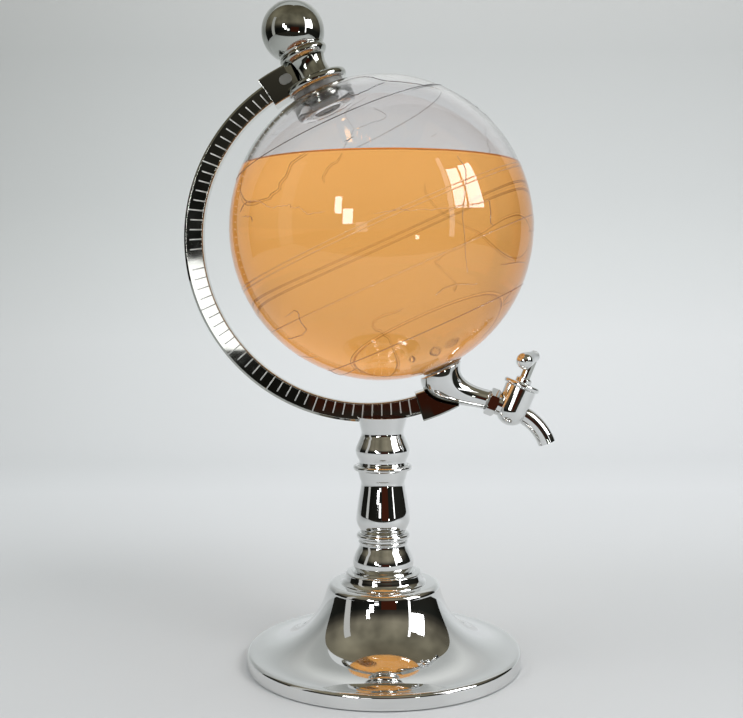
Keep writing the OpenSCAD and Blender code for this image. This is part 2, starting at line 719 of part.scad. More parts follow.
// One ring of the elbow's skin
function elbow_ring(i, grow) = let (
    t = i / (elbow_rings - 1), c = elbow_point(t), lean = elbow_turn * t, r = elbow_radius(t) + grow
  ) [for (k = [0 : elbow_sides - 1]) let (a = 360 * k / elbow_sides)
    [c[0] + r * cos(a) * cos(lean), r * sin(a), c[1] + r * cos(a) * sin(lean)]];

// The elbow's outside is a closed skin of rings along the middle line
module elbow_skin(grow) let (n = elbow_rings, sides = elbow_sides, last = (n - 1) * sides) polyhedron(
  [for (i = [0 : n - 1]) each elbow_ring(i, grow)],
  concat(
    [for (i = [0 : n - 2]) for (k = [0 : sides - 1]) let (a = i * sides + k, b = i * sides + (k + 1) % sides)
      [a, b, a + sides]],
    [for (i = [0 : n - 2]) for (k = [0 : sides - 1]) let (a = i * sides + k, b = i * sides + (k + 1) % sides)
      [b, b + sides, a + sides]],
    [for (k = [1 : sides - 2]) [0, k + 1, k]],
    [for (k = [1 : sides - 2]) [last, last + k, last + k + 1]]
  ));

module outlet_elbow() color(chrome) difference() {
  union() {
    on_axis() elbow_skin(0);
    on_axis() translate([0, 0, mouth_z - 2]) cylinder(d = spigot_d, h = spigot_top - mouth_z + 2);
    on_arm() arc_block(arm_in + tongue_wall, arm_out - tongue_wall,
      270 - arm_turn(arm_end_low - tongue_turn), 270 + arm_turn(tongue_end), arm_t, 0, 0);
  }
  on_axis() translate([0, 0, mouth_z - 3]) cylinder(r = outlet_bore_r, h = spigot_top - mouth_z + 4);
  on_axis() translate([0, 0, bore_knee]) cylinder(r = elbow_bore_r, h = mouth_z - bore_knee, $fn = 48);
  on_axis() translate([0, 0, bore_knee]) sphere(r = knee_r, $fn = 48);
  on_inlet(-inlet_len - bore_run) cylinder(r = elbow_bore_r, h = bore_run + 1, $fn = 48);
  on_inlet(-inlet_len - socket_depth) cylinder(r = socket_r, h = socket_depth + 2, $fn = 48);
  at_elbow_screw() screw_hole(bracket_t - screw_web);
}

// Along the tap's inlet, from a place on it: +Z runs towards the barrel
module on_inlet(x) on_tap() translate([x, 0, 0]) rotate([0, 90, 0]) children();

module union_washer() color(silicone) on_inlet(-inlet_len) tube(6.6, socket_r + 0.1, 0, washer_gap);

// The six-sided nut on the tap's tail locks the tap in the elbow
module lock_nut() color(chrome) on_inlet(-inlet_len + washer_gap) difference() {
  intersection() {
    cylinder(r = lock_nut_r, h = lock_nut_h, $fn = 6);
    union() {
      cylinder(r1 = lock_nut_r - lock_nut_edge, r2 = lock_nut_r, h = lock_nut_edge);
      translate([0, 0, lock_nut_edge]) cylinder(r = lock_nut_r, h = lock_nut_h - 2 * lock_nut_edge);
      translate([0, 0, lock_nut_h - lock_nut_edge])
        cylinder(r1 = lock_nut_r, r2 = lock_nut_r - lock_nut_edge, h = lock_nut_edge);
    }
  }
  translate([0, 0, -1]) cylinder(r = nipple_r + run_gap, h = lock_nut_h + 2, $fn = 48);
}

// The middle line of the spout is an arc that starts on the barrel's axis
module spout_arc(r, from, to) translate([spout_bend * sin(spout_start), 0, -spout_bend * cos(spout_start)])
  rotate([90, 0, 0]) rotate([0, 0, 90 + spout_start - to]) rotate_extrude(angle = to - from, $fn = 120)
    translate([spout_bend, 0]) circle(r = r, $fn = 48);

module tap_body() color(chrome) difference() {
  union() {
    on_tap() cylinder(r = barrel_r, h = barrel_h);
    on_tap() sphere(r = barrel_r);
    on_inlet(-barrel_r - nut_space + slot_gap) cylinder(r = inlet_r, h = barrel_r);
    on_inlet(-inlet_len - nipple_len) cylinder(r = nipple_r, h = inlet_len + nipple_len - core_r, $fn = 48);
    on_tap() spout_arc(spout_d / 2, 0, spout_turn);
  }
  on_tap() translate([0, 0, core_low - seat_gap]) cylinder(r = core_r + run_gap, h = barrel_h + 10);
  on_tap() translate([0, 0, barrel_h - bonnet_plug_h - slot_gap])
    cylinder(r = bonnet_plug_r + slot_gap, h = bonnet_plug_h + 1);
  on_inlet(-inlet_len - nipple_len - 1) cylinder(r = inlet_bore_r, h = inlet_len + nipple_len + 1, $fn = 40);
  on_tap() spout_arc(spout_bore_d / 2, 7, spout_turn + 1);
}

// The port lies across the flow when the tap is shut
module tap_core() color([0.75, 0.62, 0.35]) on_tap() difference() {
  translate([0, 0, core_low]) cylinder(r = core_r, h = core_top - core_low);
  rotate([90, 0, 0]) cylinder(r = port_r, h = 4 * core_r, center = true, $fn = 40);
  for (z = core_ring_heights()) torus(core_r - core_ring_d / 2, core_ring_d + 2 * run_gap, z);
  translate([0, 0, core_top - stem_foot_h])
    cylinder(r = stem_foot_r + run_gap, h = stem_foot_h + 1, $fn = 32);
}

function core_ring_heights() = [core_top - 6.2, core_top - 2.6];

module core_rings() color(rubber) on_tap()
  for (z = core_ring_heights()) torus(core_r - core_ring_d / 2, core_ring_d, z);

module tap_bonnet() color(chrome) on_tap() difference() {
  union() {
    translate([0, 0, barrel_h]) rotate_extrude() {
      square([bonnet_r - bonnet_edge, bonnet_t]);
      translate([0, bonnet_edge]) square([bonnet_r, bonnet_t - 2 * bonnet_edge]);
      for (y = [bonnet_edge, bonnet_t - bonnet_edge])
        translate([bonnet_r - bonnet_edge, y]) circle(r = bonnet_edge, $fn = 32);
    }
    translate([0, 0, barrel_h - bonnet_plug_h]) cylinder(r = bonnet_plug_r, h = bonnet_plug_h + 1);
    translate([0, 0, barrel_h]) cylinder(r = boss_up_r, h = bonnet_t + boss_up - 1);
    translate([0, 0, barrel_h + bonnet_t + boss_up - 1]) cylinder(r1 = boss_up_r, r2 = boss_up_r - 1, h = 1);
  }
  cylinder(r = stem_r + run_gap, h = 3 * barrel_h, $fn = 40);
}

module tap_stem() color(dark_chrome) on_tap() difference() {
  union() {
    translate([0, 0, core_top - stem_foot_h + slot_gap]) cylinder(r = stem_foot_r, h = stem_foot_h, $fn = 32);
    translate([0, 0, core_top]) cylinder(r = stem_r, h = lever_z - stem_top_h - core_top, $fn = 40);
    translate([0, 0, core_top]) cylinder(r = stem_top_r, h = lever_z - core_top, $fn = 40);
  }
  translate([0, 0, lever_z - 6]) cylinder(r = stem_thread_r + run_gap, h = 7, $fn = 24);
}

// The drop-shaped lever is turned about its own middle line
module lever_form() rotate([0, 0, 180 + lever_yaw]) rotate([0, 90 + lever_droop, 0]) rotate_extrude()
  polygon(concat(
    [for (a = [-90 : 10 : -10]) hub_r * [cos(a), sin(a)]],
    turned([
      [hub_r, 0], [hub_r + 0.25, 0.3 * lever_len], [round_r - 0.4, 0.72 * lever_len], [round_r, lever_len]
    ], 4),
    [for (a = [10 : 10 : 90]) [round_r * cos(a), lever_len + round_r * sin(a)]]
  ));

module tap_lever() color(chrome) on_tap() translate([0, 0, lever_z]) difference() {
  lever_form();
  translate([0, 0, -3 * hub_r]) cylinder(r = stem_top_r + run_gap, h = 3 * hub_r + slot_gap, $fn = 40);
  translate([0, 0, -3 * hub_r])
    cylinder(r = stem_r + slot_gap, h = 3 * hub_r - stem_top_h + slot_gap, $fn = 40);
  cylinder(r = stem_thread_r + slot_gap, h = 3 * hub_r, $fn = 24);
  translate([0, 0, 2]) cylinder(r = lever_head_r + slot_gap, h = 3 * hub_r, $fn = 32);
}

module lever_screw() color(steel) on_tap() translate([0, 0, lever_z]) {
  translate([0, 0, -5.5]) cylinder(r = stem_thread_r, h = 8, $fn = 24);
  translate([0, 0, 2]) cylinder(r = lever_head_r, h = 1.5, $fn = 32);
}

base_pad();
base_cover();
cover_screws();
base_weight();
base_shell();
tie_rod();
rod_nut();
rod_washer();
column_collar();
lower_baluster();
column_vase();
column_cup();
meridian_arm();
upper_bracket();
arm_screw_upper();
screw_cap();
lower_bracket();
arm_screw_lower();
elbow_screw();
globe_lower();
globe_upper();
neck_washer();
cap_knob();
cap_plug();
plug_rings();
cap_screw();
outlet_gasket();
inner_gasket();
outlet_nut();
outlet_elbow();
union_washer();
lock_nut();
tap_body();
tap_core();
core_rings();
tap_bonnet();
tap_stem();
tap_lever();
lever_screw();
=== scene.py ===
import json
from math import cos, pi, radians, sin, sqrt, tan
from random import Random

import bmesh
import bpy
from mathutils import Matrix, Vector


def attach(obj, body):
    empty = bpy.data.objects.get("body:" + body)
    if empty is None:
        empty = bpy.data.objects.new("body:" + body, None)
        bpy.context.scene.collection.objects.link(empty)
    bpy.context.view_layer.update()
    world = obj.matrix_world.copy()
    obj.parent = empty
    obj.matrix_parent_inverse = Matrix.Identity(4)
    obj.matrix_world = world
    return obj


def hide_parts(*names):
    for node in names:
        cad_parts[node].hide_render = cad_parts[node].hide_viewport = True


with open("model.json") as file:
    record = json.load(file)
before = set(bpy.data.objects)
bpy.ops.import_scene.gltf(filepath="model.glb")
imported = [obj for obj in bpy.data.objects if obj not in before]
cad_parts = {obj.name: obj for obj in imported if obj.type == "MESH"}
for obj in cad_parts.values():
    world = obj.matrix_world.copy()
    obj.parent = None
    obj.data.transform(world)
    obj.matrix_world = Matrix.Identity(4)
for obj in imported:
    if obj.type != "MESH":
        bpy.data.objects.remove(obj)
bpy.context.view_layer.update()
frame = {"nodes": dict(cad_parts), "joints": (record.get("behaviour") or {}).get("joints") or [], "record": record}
joints = {joint["name"]: joint for joint in frame["joints"]}
mm = 0.001  # the pieces' sizes are in millimetres and their angles in degrees
print("frame loaded with", len(frame["nodes"]), "nodes")


def placeAlong(up, origin):  # +Z runs along up, +X lies in the arm's plane
    side = Vector((up.z, 0, -up.x))
    turn = Matrix((side, up.cross(side), up)).transposed()
    return Matrix.Translation(origin) @ turn.to_4x4()


globe = {
    "radius": 100, "wall": 2.2, "height": 290, "sides": 240,
    "neckBore": 11.5, "neck": 13.5, "neckRise": 7.5, "neckRoot": 0.6, "neckEdge": 0.5, "boreEdge": 0.4,
    "collar": 20.6, "collarDepth": 15, "collarRound": 4, "collarEdge": 0.6, "collarRoot": 0.8,
    "boreRings": (8, 6), "collarRing": 5,  # heights over the collar's lower end that keep its sides straight
    "rootTurn": 72.5, "wallTurn": 74, "wallClear": 2,  # where the inner wall leaves the collar
    "boss": 13.6, "bossThick": 5.5, "bossEdge": 0.5, "hole": 8.3,
}
axisUp = Vector(joints["cap_lift"]["axis"])
globeCentre = Vector((0, 0, globe["height"]))
onAxis = placeAlong(axisUp, globeCentre)

tapUp = Vector(joints["tap_turn"]["axis"])
onTap = placeAlong(tapUp, Vector(joints["tap_turn"]["pos_m"]) / mm)

arm = {
    "inner": 108.7, "outer": 121.3, "thick": 8.4, "offset": 10.8, "drop": 2.3, "from": 92.3, "to": 266.1,
    "bevel": 1.5, "bevelEdge": 0.3, "innerBevel": 0.5,
    "rimLine": 0.6, "rimEdge": 0.15, "rimSink": 0.3, "rimFrom": 100.6, "rimTo": 262.9,
    "short": 8.2, "long": 10.4, "longEvery": 15, "markWidth": 0.8, "markHeight": 0.4, "markSink": 0.3,
    "markEdge": 0.12, "markStep": 3, "firstMark": -75, "marks": 50,
}
onArm = onAxis @ Matrix.Translation((-arm["offset"], 0, -arm["drop"])) @ Matrix.Rotation(pi / 2, 4, "X")


def between(a, b, c, d, t):  # the smooth curve from b to c, with a before and d after them
    return tuple(
        0.5 * (2 * q + (r - p) * t + (2 * p - 5 * q + 4 * r - s) * t * t + (3 * q - p - 3 * r + s) * t ** 3)
        for p, q, r, s in zip(a, b, c, d))


def flowing(keys, steps=12):  # a smooth curve through its keys
    last = len(keys) - 1
    points = [between(keys[max(i - 1, 0)], keys[i], keys[i + 1], keys[min(i + 2, last)], s / steps)
              for i in range(last) for s in range(steps)]
    return points + [tuple(keys[last])]


def arc(cx, cy, r, start, end, steps=12):
    turns = [radians(start + (end - start) * s / steps) for s in range(steps + 1)]
    return [(cx + r * cos(a), cy + r * sin(a)) for a in turns]


def bead(r, z, thick):  # a round ring's section
    return arc(r, z, thick / 2, 0, 360, 36)[:-1]


curveShare = 0.45  # the most that a corner's curve takes of the side beside it
flatHold = 1.1  # a point this far out, in the curve's own reach, keeps the side beside it flat


def rounded(corners, steps=5, closed=False):  # each corner is (x, y, radius)
    points = []
    count = len(corners)
    for i, (x, y, r) in enumerate(corners):
        here = Vector((x, y))
        if r <= 0 or (not closed and i in (0, count - 1)):
            points.append((x, y))
            continue
        toBack = Vector(corners[i - 1][:2]) - here
        toNext = Vector(corners[(i + 1) % count][:2]) - here
        reach = min(r / tan(toBack.angle(toNext) / 2), curveShare * toBack.length, curveShare * toNext.length)
        a, b = toBack.normalized() * reach, toNext.normalized() * reach
        points.append(tuple(here + a * flatHold))
        for s in range(steps + 1):
            t = s / steps
            points.append(tuple(here + a * (1 - t) ** 2 + b * t ** 2))
        points.append(tuple(here + b * flatHold))
    return points


def raised(outline, z):
    return [(r, z + rise) for r, rise in outline]


def meshPiece(name, points, faces, place=None, sharp=35, outward=True):
    place = place or Matrix()
    mesh = bpy.data.meshes.new(name)
    mesh.from_pydata([(place @ Vector(p)) * mm for p in points], [], faces)
    work = bmesh.new()
    work.from_mesh(mesh)
    bmesh.ops.remove_doubles(work, verts=work.verts, dist=1e-7)
    if outward:
        bmesh.ops.recalc_face_normals(work, faces=work.faces)
    work.to_mesh(mesh)
    work.free()
    mesh.shade_smooth()
    mesh.set_sharp_from_angle(angle=radians(sharp))
    piece = bpy.data.objects.new(name, mesh)
    bpy.context.collection.objects.link(piece)
    return piece


def turned(name, outline, place=None, segments=144, closed=False):  # an outline (radius, z) turned round +Z
    points, rows = [], []
    for r, z in outline:
        sides = 1 if r < 1e-4 else segments  # one point on the axis
        rows.append([len(points) + k for k in range(sides)])
        points += [(r * cos(2 * pi * k / sides), r * sin(2 * pi * k / sides), z) for k in range(sides)]
    faces = []
    for row, up in zip(rows, rows[1:] + (rows[:1] if closed else [])):
        for k in range(segments):
            loop = [row[k % len(row)], row[(k + 1) % len(row)], up[(k + 1) % len(up)], up[k % len(up)]]
            loop = list(dict.fromkeys(loop))
            if len(loop) > 2:
                faces.append(loop)
    return meshPiece(name, points, faces, place)


def swept(name, rings, place=None, sharp=35, closed=False):  # rings of equal count, joined in order
    sides = len(rings[0])
    points = [p for ring in rings for p in ring]
    faces = []
    for i in range(len(rings) if closed else len(rings) - 1):
        j = (i + 1) % len(rings)
        for k in range(sides):
            m = (k + 1) % sides
            faces.append((i * sides + k, i * sides + m, j * sides + m, j * sides + k))
    if not closed:
        faces.append(tuple(range(sides)))
        faces.append(tuple((len(rings) - 1) * sides + k for k in range(sides)))
    return meshPiece(name, points, faces, place, sharp)


def arcSwept(name, section, start, end, step=1.0):  # a section (radius, z) swept round the arm's own axis
    count = max(2, int(abs(end - start) / step) + 1)
    turns = [radians(start + (end - start) * i / (count - 1)) for i in range(count)]
    return swept(name, [[(r * cos(a), r * sin(a), z) for r, z in section] for a in turns], onArm)


def joined(name, pieces):
    work = bmesh.new()
    for piece in pieces:
        work.from_mesh(piece.data)
        bpy.data.objects.remove(piece)
    mesh = bpy.data.meshes.new(name)
    work.to_mesh(mesh)
    work.free()
    whole = bpy.data.objects.new(name, mesh)
    bpy.context.collection.objects.link(whole)
    return whole


def frozen(piece):  # the piece as its modifiers leave it
    mesh = bpy.data.meshes.new_from_object(piece.evaluated_get(bpy.context.evaluated_depsgraph_get()))
    piece.modifiers.clear()
    piece.data = mesh
    return piece


def shapedBy(piece, cutters, operation="DIFFERENCE"):
    for cutter in cutters:
        cut = piece.modifiers.new("cut", "BOOLEAN")
        cut.operation = operation
        cut.solver = "EXACT"
        cut.object = cutter
    frozen(piece)
    for cutter in cutters:
        bpy.data.objects.remove(cutter)


def softEdges(piece, width, segments=3, angle=35):
    bevel = piece.modifiers.new("edges", "BEVEL")
    bevel.width = width * mm
    bevel.segments = segments
    bevel.limit_method = "ANGLE"
    bevel.angle_limit = radians(angle)
    bevel.use_clamp_overlap = True
    frozen(piece)
    piece.data.shade_smooth()
    piece.data.set_sharp_from_angle(angle=radians(angle))


def done(piece, body, slot, material, *replaced):
    piece.data.materials.clear()
    piece.data.materials.append(material)
    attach(piece, body)
    if replaced:
        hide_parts(*replaced)


def newMaterial(name, values):  # values of the shader's own sockets, by name
    material = bpy.data.materials.new(name)
    material.use_nodes = True
    tree = material.node_tree
    shader = next(n for n in tree.nodes if n.type == "BSDF_PRINCIPLED")
    for key, value in values.items():
        shader.inputs[key].default_value = value
    return material, tree, shader


def addNode(tree, kind, links=None, **settings):  # links: a socket's name or index, to a value or an output
    node = tree.nodes.new(kind)
    for key, value in settings.items():
        setattr(node, key, value)
    for key, value in (links or {}).items():
        if isinstance(value, bpy.types.NodeSocket):
            tree.links.new(value, node.inputs[key])
        else:
            node.inputs[key].default_value = value
    return node


def objectNoise(tree, scale, detail):
    place = addNode(tree, "ShaderNodeTexCoord")
    links = {"Vector": place.outputs["Object"], "Scale": scale, "Detail": detail}
    return addNode(tree, "ShaderNodeTexNoise", links).outputs["Fac"]


def cloudy(tree, scale, detail, low, high):  # object noise, brought from its usual range to low and high
    noise = objectNoise(tree, scale, detail)
    links = {"Value": noise, "From Min": 0.3, "From Max": 0.7, "To Min": low, "To Max": high}
    return addNode(tree, "ShaderNodeMapRange", links).outputs[0]


def mottle(tree, shader, color, shade, scale, detail):  # the colour, darker in clouds
    tint = addNode(tree, "ShaderNodeMix", {0: cloudy(tree, scale, detail, 0, 1)}, data_type="RGBA")
    tint.inputs[6].default_value = (*color, 1)
    tint.inputs[7].default_value = (*[c * shade for c in color], 1)
    tree.links.new(tint.outputs[2], shader.inputs["Base Color"])


def roughen(tree, shader, scale, detail, low, high):
    tree.links.new(cloudy(tree, scale, detail, low, high), shader.inputs["Roughness"])


def ripple(tree, shader, scale, detail, strength, depth):
    height = objectNoise(tree, scale, detail)
    bump = addNode(tree, "ShaderNodeBump", {"Height": height, "Strength": strength, "Distance": depth})
    tree.links.new(bump.outputs[0], shader.inputs["Normal"])


def platedMetal(name, color, roughness, wave):  # bright plating: faint ripple, faint smears
    material, tree, shader = newMaterial(name, {"Metallic": 1})
    mottle(tree, shader, color, shade=0.94, scale=30, detail=2)
    roughen(tree, shader, scale=90, detail=4, low=roughness * 0.6, high=roughness * 1.5)
    ripple(tree, shader, scale=60, detail=1, strength=wave, depth=0.0004)
    return material


def clearPlastic(name, color, ior):
    values = {"Base Color": (*color, 1), "Transmission Weight": 1, "IOR": ior}
    material, tree, shader = newMaterial(name, values)
    roughen(tree, shader, scale=50, detail=3, low=0.0, high=0.03)
    ripple(tree, shader, scale=22, detail=1, strength=0.08, depth=0.001)
    return material


def softClear(name, color, ior):
    values = {"Base Color": (*color, 1), "Transmission Weight": 0.85, "IOR": ior}
    material, tree, shader = newMaterial(name, values)
    roughen(tree, shader, scale=300, detail=2, low=0.25, high=0.4)
    return material


# a clear tinted liquid with a faint painted glow: its emission colour and strength are painted light
def glowingTintedLiquid(name, color, glow, strength, ior):
    return newMaterial(name, {
        "Base Color": (*color, 1), "Transmission Weight": 1, "IOR": ior, "Roughness": 0,
        "Emission Color": (*glow, 1), "Emission Strength": strength})[0]


def plainSurface(name, color, roughness, grain, grainScale, metallic=0.0):
    material, tree, shader = newMaterial(name, {"Metallic": metallic})
    mottle(tree, shader, color, shade=0.82, scale=60, detail=3)
    roughen(tree, shader, scale=200, detail=2, low=roughness * 0.85, high=roughness * 1.15)
    ripple(tree, shader, grainScale, detail=3, strength=grain, depth=0.0004)
    return material


finish = {
    "chrome": platedMetal("chromePlate", (0.8, 0.805, 0.8), 0.035, 0.04),
    "dark_chrome": platedMetal("darkPlate", (0.5, 0.51, 0.48), 0.045, 0.06),
    "mark": plainSurface("brightMark", (0.66, 0.66, 0.64), 0.35, 0.02, 400, 0.3),
    "cover_metal": plainSurface("satinCover", (0.2, 0.2, 0.185), 0.5, 0.1, 900, 0.5),
    "clear": clearPlastic("clearShell", (0.965, 0.96, 0.97), 1.49),
    "black_rubber": plainSurface("blackRubber", (0.03, 0.032, 0.03), 0.5, 0.1, 800),
    "silicone": softClear("clearSilicone", (0.8, 0.8, 0.78), 1.41),
    "steel": plainSurface("machinedSteel", (0.6, 0.61, 0.62), 0.3, 0.15, 1500, 1.0),
    "iron": plainSurface("castIron", (0.09, 0.09, 0.1), 0.65, 0.6, 500),
    "black_plastic": plainSurface("blackPlastic", (0.035, 0.035, 0.038), 0.45, 0.25, 1600),
    "white_plastic": plainSurface("whitePlastic", (0.8, 0.8, 0.76), 0.4, 0.08, 700),
    "brass": plainSurface("turnedBrass", (0.72, 0.54, 0.26), 0.25, 0.1, 1200, 1.0),
    # the drink's amber emission at strength 0.07 is a painted glow
    "drink": glowingTintedLiquid("amberDrink", (1.0, 0.49, 0.13), (1.0, 0.5, 0.14), 0.07, 1.34),
}
print("finishes made:", len(finish))

for entry in frame["record"]["subparts"]:  # every node of the frame gets its finish
    node = frame["nodes"][entry["node"]]
    node.data.materials.clear()
    node.data.materials.append(finish[entry["material_slot"]])


foot = {
    "radius": 92, "rim": 10.2, "edge": 2.5, "land": 5, "flare": 49.8, "flareEnd": -168.4,
    "shoulder": 54, "shoulderRound": 4, "wall": 1.8, "gap": 0.8, "bore": 2.75, "sides": 192,
}


def footOutline(inset):  # from the rim's lower edge up to the bore, moved inwards by inset
    r, rim, flare, edge = foot["radius"], foot["rim"], foot["flare"], foot["edge"]
    top, turn = foot["shoulder"], foot["shoulderRound"]
    flareX, flareZ = r - foot["land"], rim + flare
    shoulderX = flareX - sqrt(flare ** 2 - (flareZ - top + turn) ** 2)
    outline = [(r - inset, foot["gap"])] + arc(r - edge, rim - edge, edge - inset, 0, 90, 8)
    outline += arc(flareX, flareZ, flare + inset, -90, foot["flareEnd"], 60)
    outline += arc(shoulderX - turn, top - turn, turn - inset, 0, 90, 10)
    return outline + [(foot["bore"], top - inset)]


def makeFoot():
    outline = footOutline(0) + footOutline(foot["wall"])[::-1]
    shell = turned("footShell", outline, segments=foot["sides"], closed=True)
    done(shell, "stand", "chrome", finish["chrome"], "base_shell")


makeFoot()
print("foot done")


column = {
    "collar": 8.5, "baluster": 25.4, "cup": 33, "bore": 2.75,
    "collarStep": [(28.8, 0), (28.65, 0.5), (28.4, 0.7)],  # radius and height in the piece
    "collarSlope": [(27.8, 1.2), (26.6, 2.6), (26, 4.4), (25.5, 5.9)],
    "collarBead": (24.2, 6.1, 1.3), "collarTop": [(21.6, 7.6), (21.2, 8.5)],
    "balusterSide": [
        (18.8, 0), (20.2, 3.2), (20.3, 7), (18.6, 11.6), (16.4, 15.8), (15.9, 18.6), (16.1, 25.4)],
    "balusterBeads": [(15.6, 19.2, 2.4), (16.2, 23.2, 3.6)],
    "vaseSide": [  # radius and share of the vase's height
        (14.8, 0), (15.2, 0.03), (17.6, 0.15), (18, 0.26),
        (16.6, 0.5), (14.7, 0.78), (15.6, 0.88), (16.9, 1)],
    "cupSide": [
        (16.6, 0), (16.4, 3.6), (15.9, 6.4), (17.8, 11), (18, 14.8),
        (15.4, 21.2), (14.1, 25), (15.4, 31), (16.9, 36)],
    "cupEdge": 0.5, "cupFloor": 12, "cupLip": (0.15, 0.6), "cupBead": (18, 2, 3.6),
    # the slot that the arm lies in
    "slotGap": 0.1, "slotFront": 0.5, "slotInner": 80, "slotFrom": 250, "slotTo": 290, "slotEdge": 0.35,
}
armCentreX = -arm["offset"] * axisUp.z + arm["drop"] * -axisUp.x
armCentreZ = globe["height"] - arm["offset"] * -axisUp.x - arm["drop"] * axisUp.z
armUnder = armCentreZ - sqrt(arm["outer"] ** 2 - armCentreX ** 2)  # the arm's lowest edge over the column
collarZ = foot["shoulder"]
balusterZ = collarZ + column["collar"]
vaseZ = balusterZ + column["baluster"]
cupZ = armUnder - column["cup"]


def columnPiece(name, side, node, beads=()):
    loop = [(column["bore"], side[0][1])] + side + [(column["bore"], side[-1][1])]
    parts = [turned(name, loop, closed=True)] + [turned(name, bead(*one), closed=True) for one in beads]
    piece = joined(name, parts) if beads else parts[0]
    done(piece, "stand", "chrome", finish["chrome"], node)


def makeColumn():
    beadR, beadZ, beadRound = column["collarBead"]
    collar = column["collarStep"] + flowing(column["collarSlope"], 6)
    collar += arc(beadR, beadZ, beadRound, 10, 90, 8) + column["collarTop"]
    columnPiece("collarRing", raised(collar, collarZ), "column_collar")
    rings = [(r, balusterZ + rise, thick) for r, rise, thick in column["balusterBeads"]]
    side = flowing(raised(column["balusterSide"], balusterZ))
    columnPiece("lowerTurning", side, "lower_baluster", rings)
    side = [(r, vaseZ + share * (cupZ - vaseZ)) for r, share in column["vaseSide"]]
    columnPiece("vaseTurning", flowing(side), "column_vase")


def makeCup():
    side = flowing(raised(column["cupSide"], cupZ))
    lip, top = side[-1]
    less, below = column["cupLip"]
    corner, floor = (lip, top, column["cupEdge"]), (column["cupFloor"], top, 0)
    edge = rounded([(lip - less, top - below, 0), corner, floor], 3)
    outline = [(column["bore"], cupZ)] + side[:-1] + edge + [(column["bore"], top)]
    cup = turned("armCup", outline, closed=True)
    under, back = arm["outer"] + column["slotGap"], -arm["thick"] / 2 - column["slotGap"]
    front, inner = arm["thick"] / 2 + column["slotFront"], column["slotInner"]
    section = [(inner, back), (under, back), (under, front), (inner, front)]
    shapedBy(cup, [arcSwept("slot", section, column["slotFrom"], column["slotTo"], step=0.5)])
    softEdges(cup, column["slotEdge"])
    r, rise, thick = column["cupBead"]
    ring = turned("bead", bead(r, cupZ + rise, thick), closed=True)
    done(joined("armCup", [cup, ring]), "stand", "chrome", finish["chrome"], "column_cup")


makeColumn()
makeCup()
print("column done")


def makeArm():
    a = arm
    half, out, into, turn, edge = a["thick"] / 2, a["outer"], a["inner"], a["bevel"], a["bevelEdge"]
    section = rounded([
        (into, -half, a["innerBevel"]), (out - turn, -half, edge), (out, -half + turn, edge),
        (out, half - turn, edge), (out - turn, half, edge), (into, half, a["innerBevel"])], 4, closed=True)
    bar = arcSwept("armBar", section, a["from"], a["to"])
    near, far = into + a["innerBevel"], into + a["innerBevel"] + a["rimLine"]
    low, high, edge = half - a["rimSink"], half + a["markHeight"], a["rimEdge"]
    line = rounded([(near, low, 0), (far, low, 0), (far, high, edge), (near, high, edge)], 3, closed=True)
    rim = arcSwept("rim", line, a["rimFrom"], a["rimTo"])
    done(joined("armBar", [bar, rim]), "stand", "dark_chrome", finish["dark_chrome"], "meridian_arm")


def geometryTree(name, inputs):  # a new tree with named number inputs
    tree = bpy.data.node_groups.new(name, "GeometryNodeTree")
    tree.interface.new_socket("Geometry", in_out="INPUT", socket_type="NodeSocketGeometry")
    for key in inputs:
        tree.interface.new_socket(key, in_out="INPUT", socket_type="NodeSocketFloat")
    tree.interface.new_socket("Geometry", in_out="OUTPUT", socket_type="NodeSocketGeometry")
    return tree, addNode(tree, "NodeGroupInput"), addNode(tree, "NodeGroupOutput")


def grown(name, tree, values):  # runs the tree on an empty mesh and keeps the result as a plain mesh
    holder = bpy.data.objects.new(name, bpy.data.meshes.new(name))
    bpy.context.collection.objects.link(holder)
    modifier = holder.modifiers.new("grow", "NODES")
    modifier.node_group = tree
    for item in tree.interface.items_tree:
        if item.in_out == "INPUT" and item.name in values:
            modifier[item.identifier] = float(values[item.name])
    return frozen(holder)


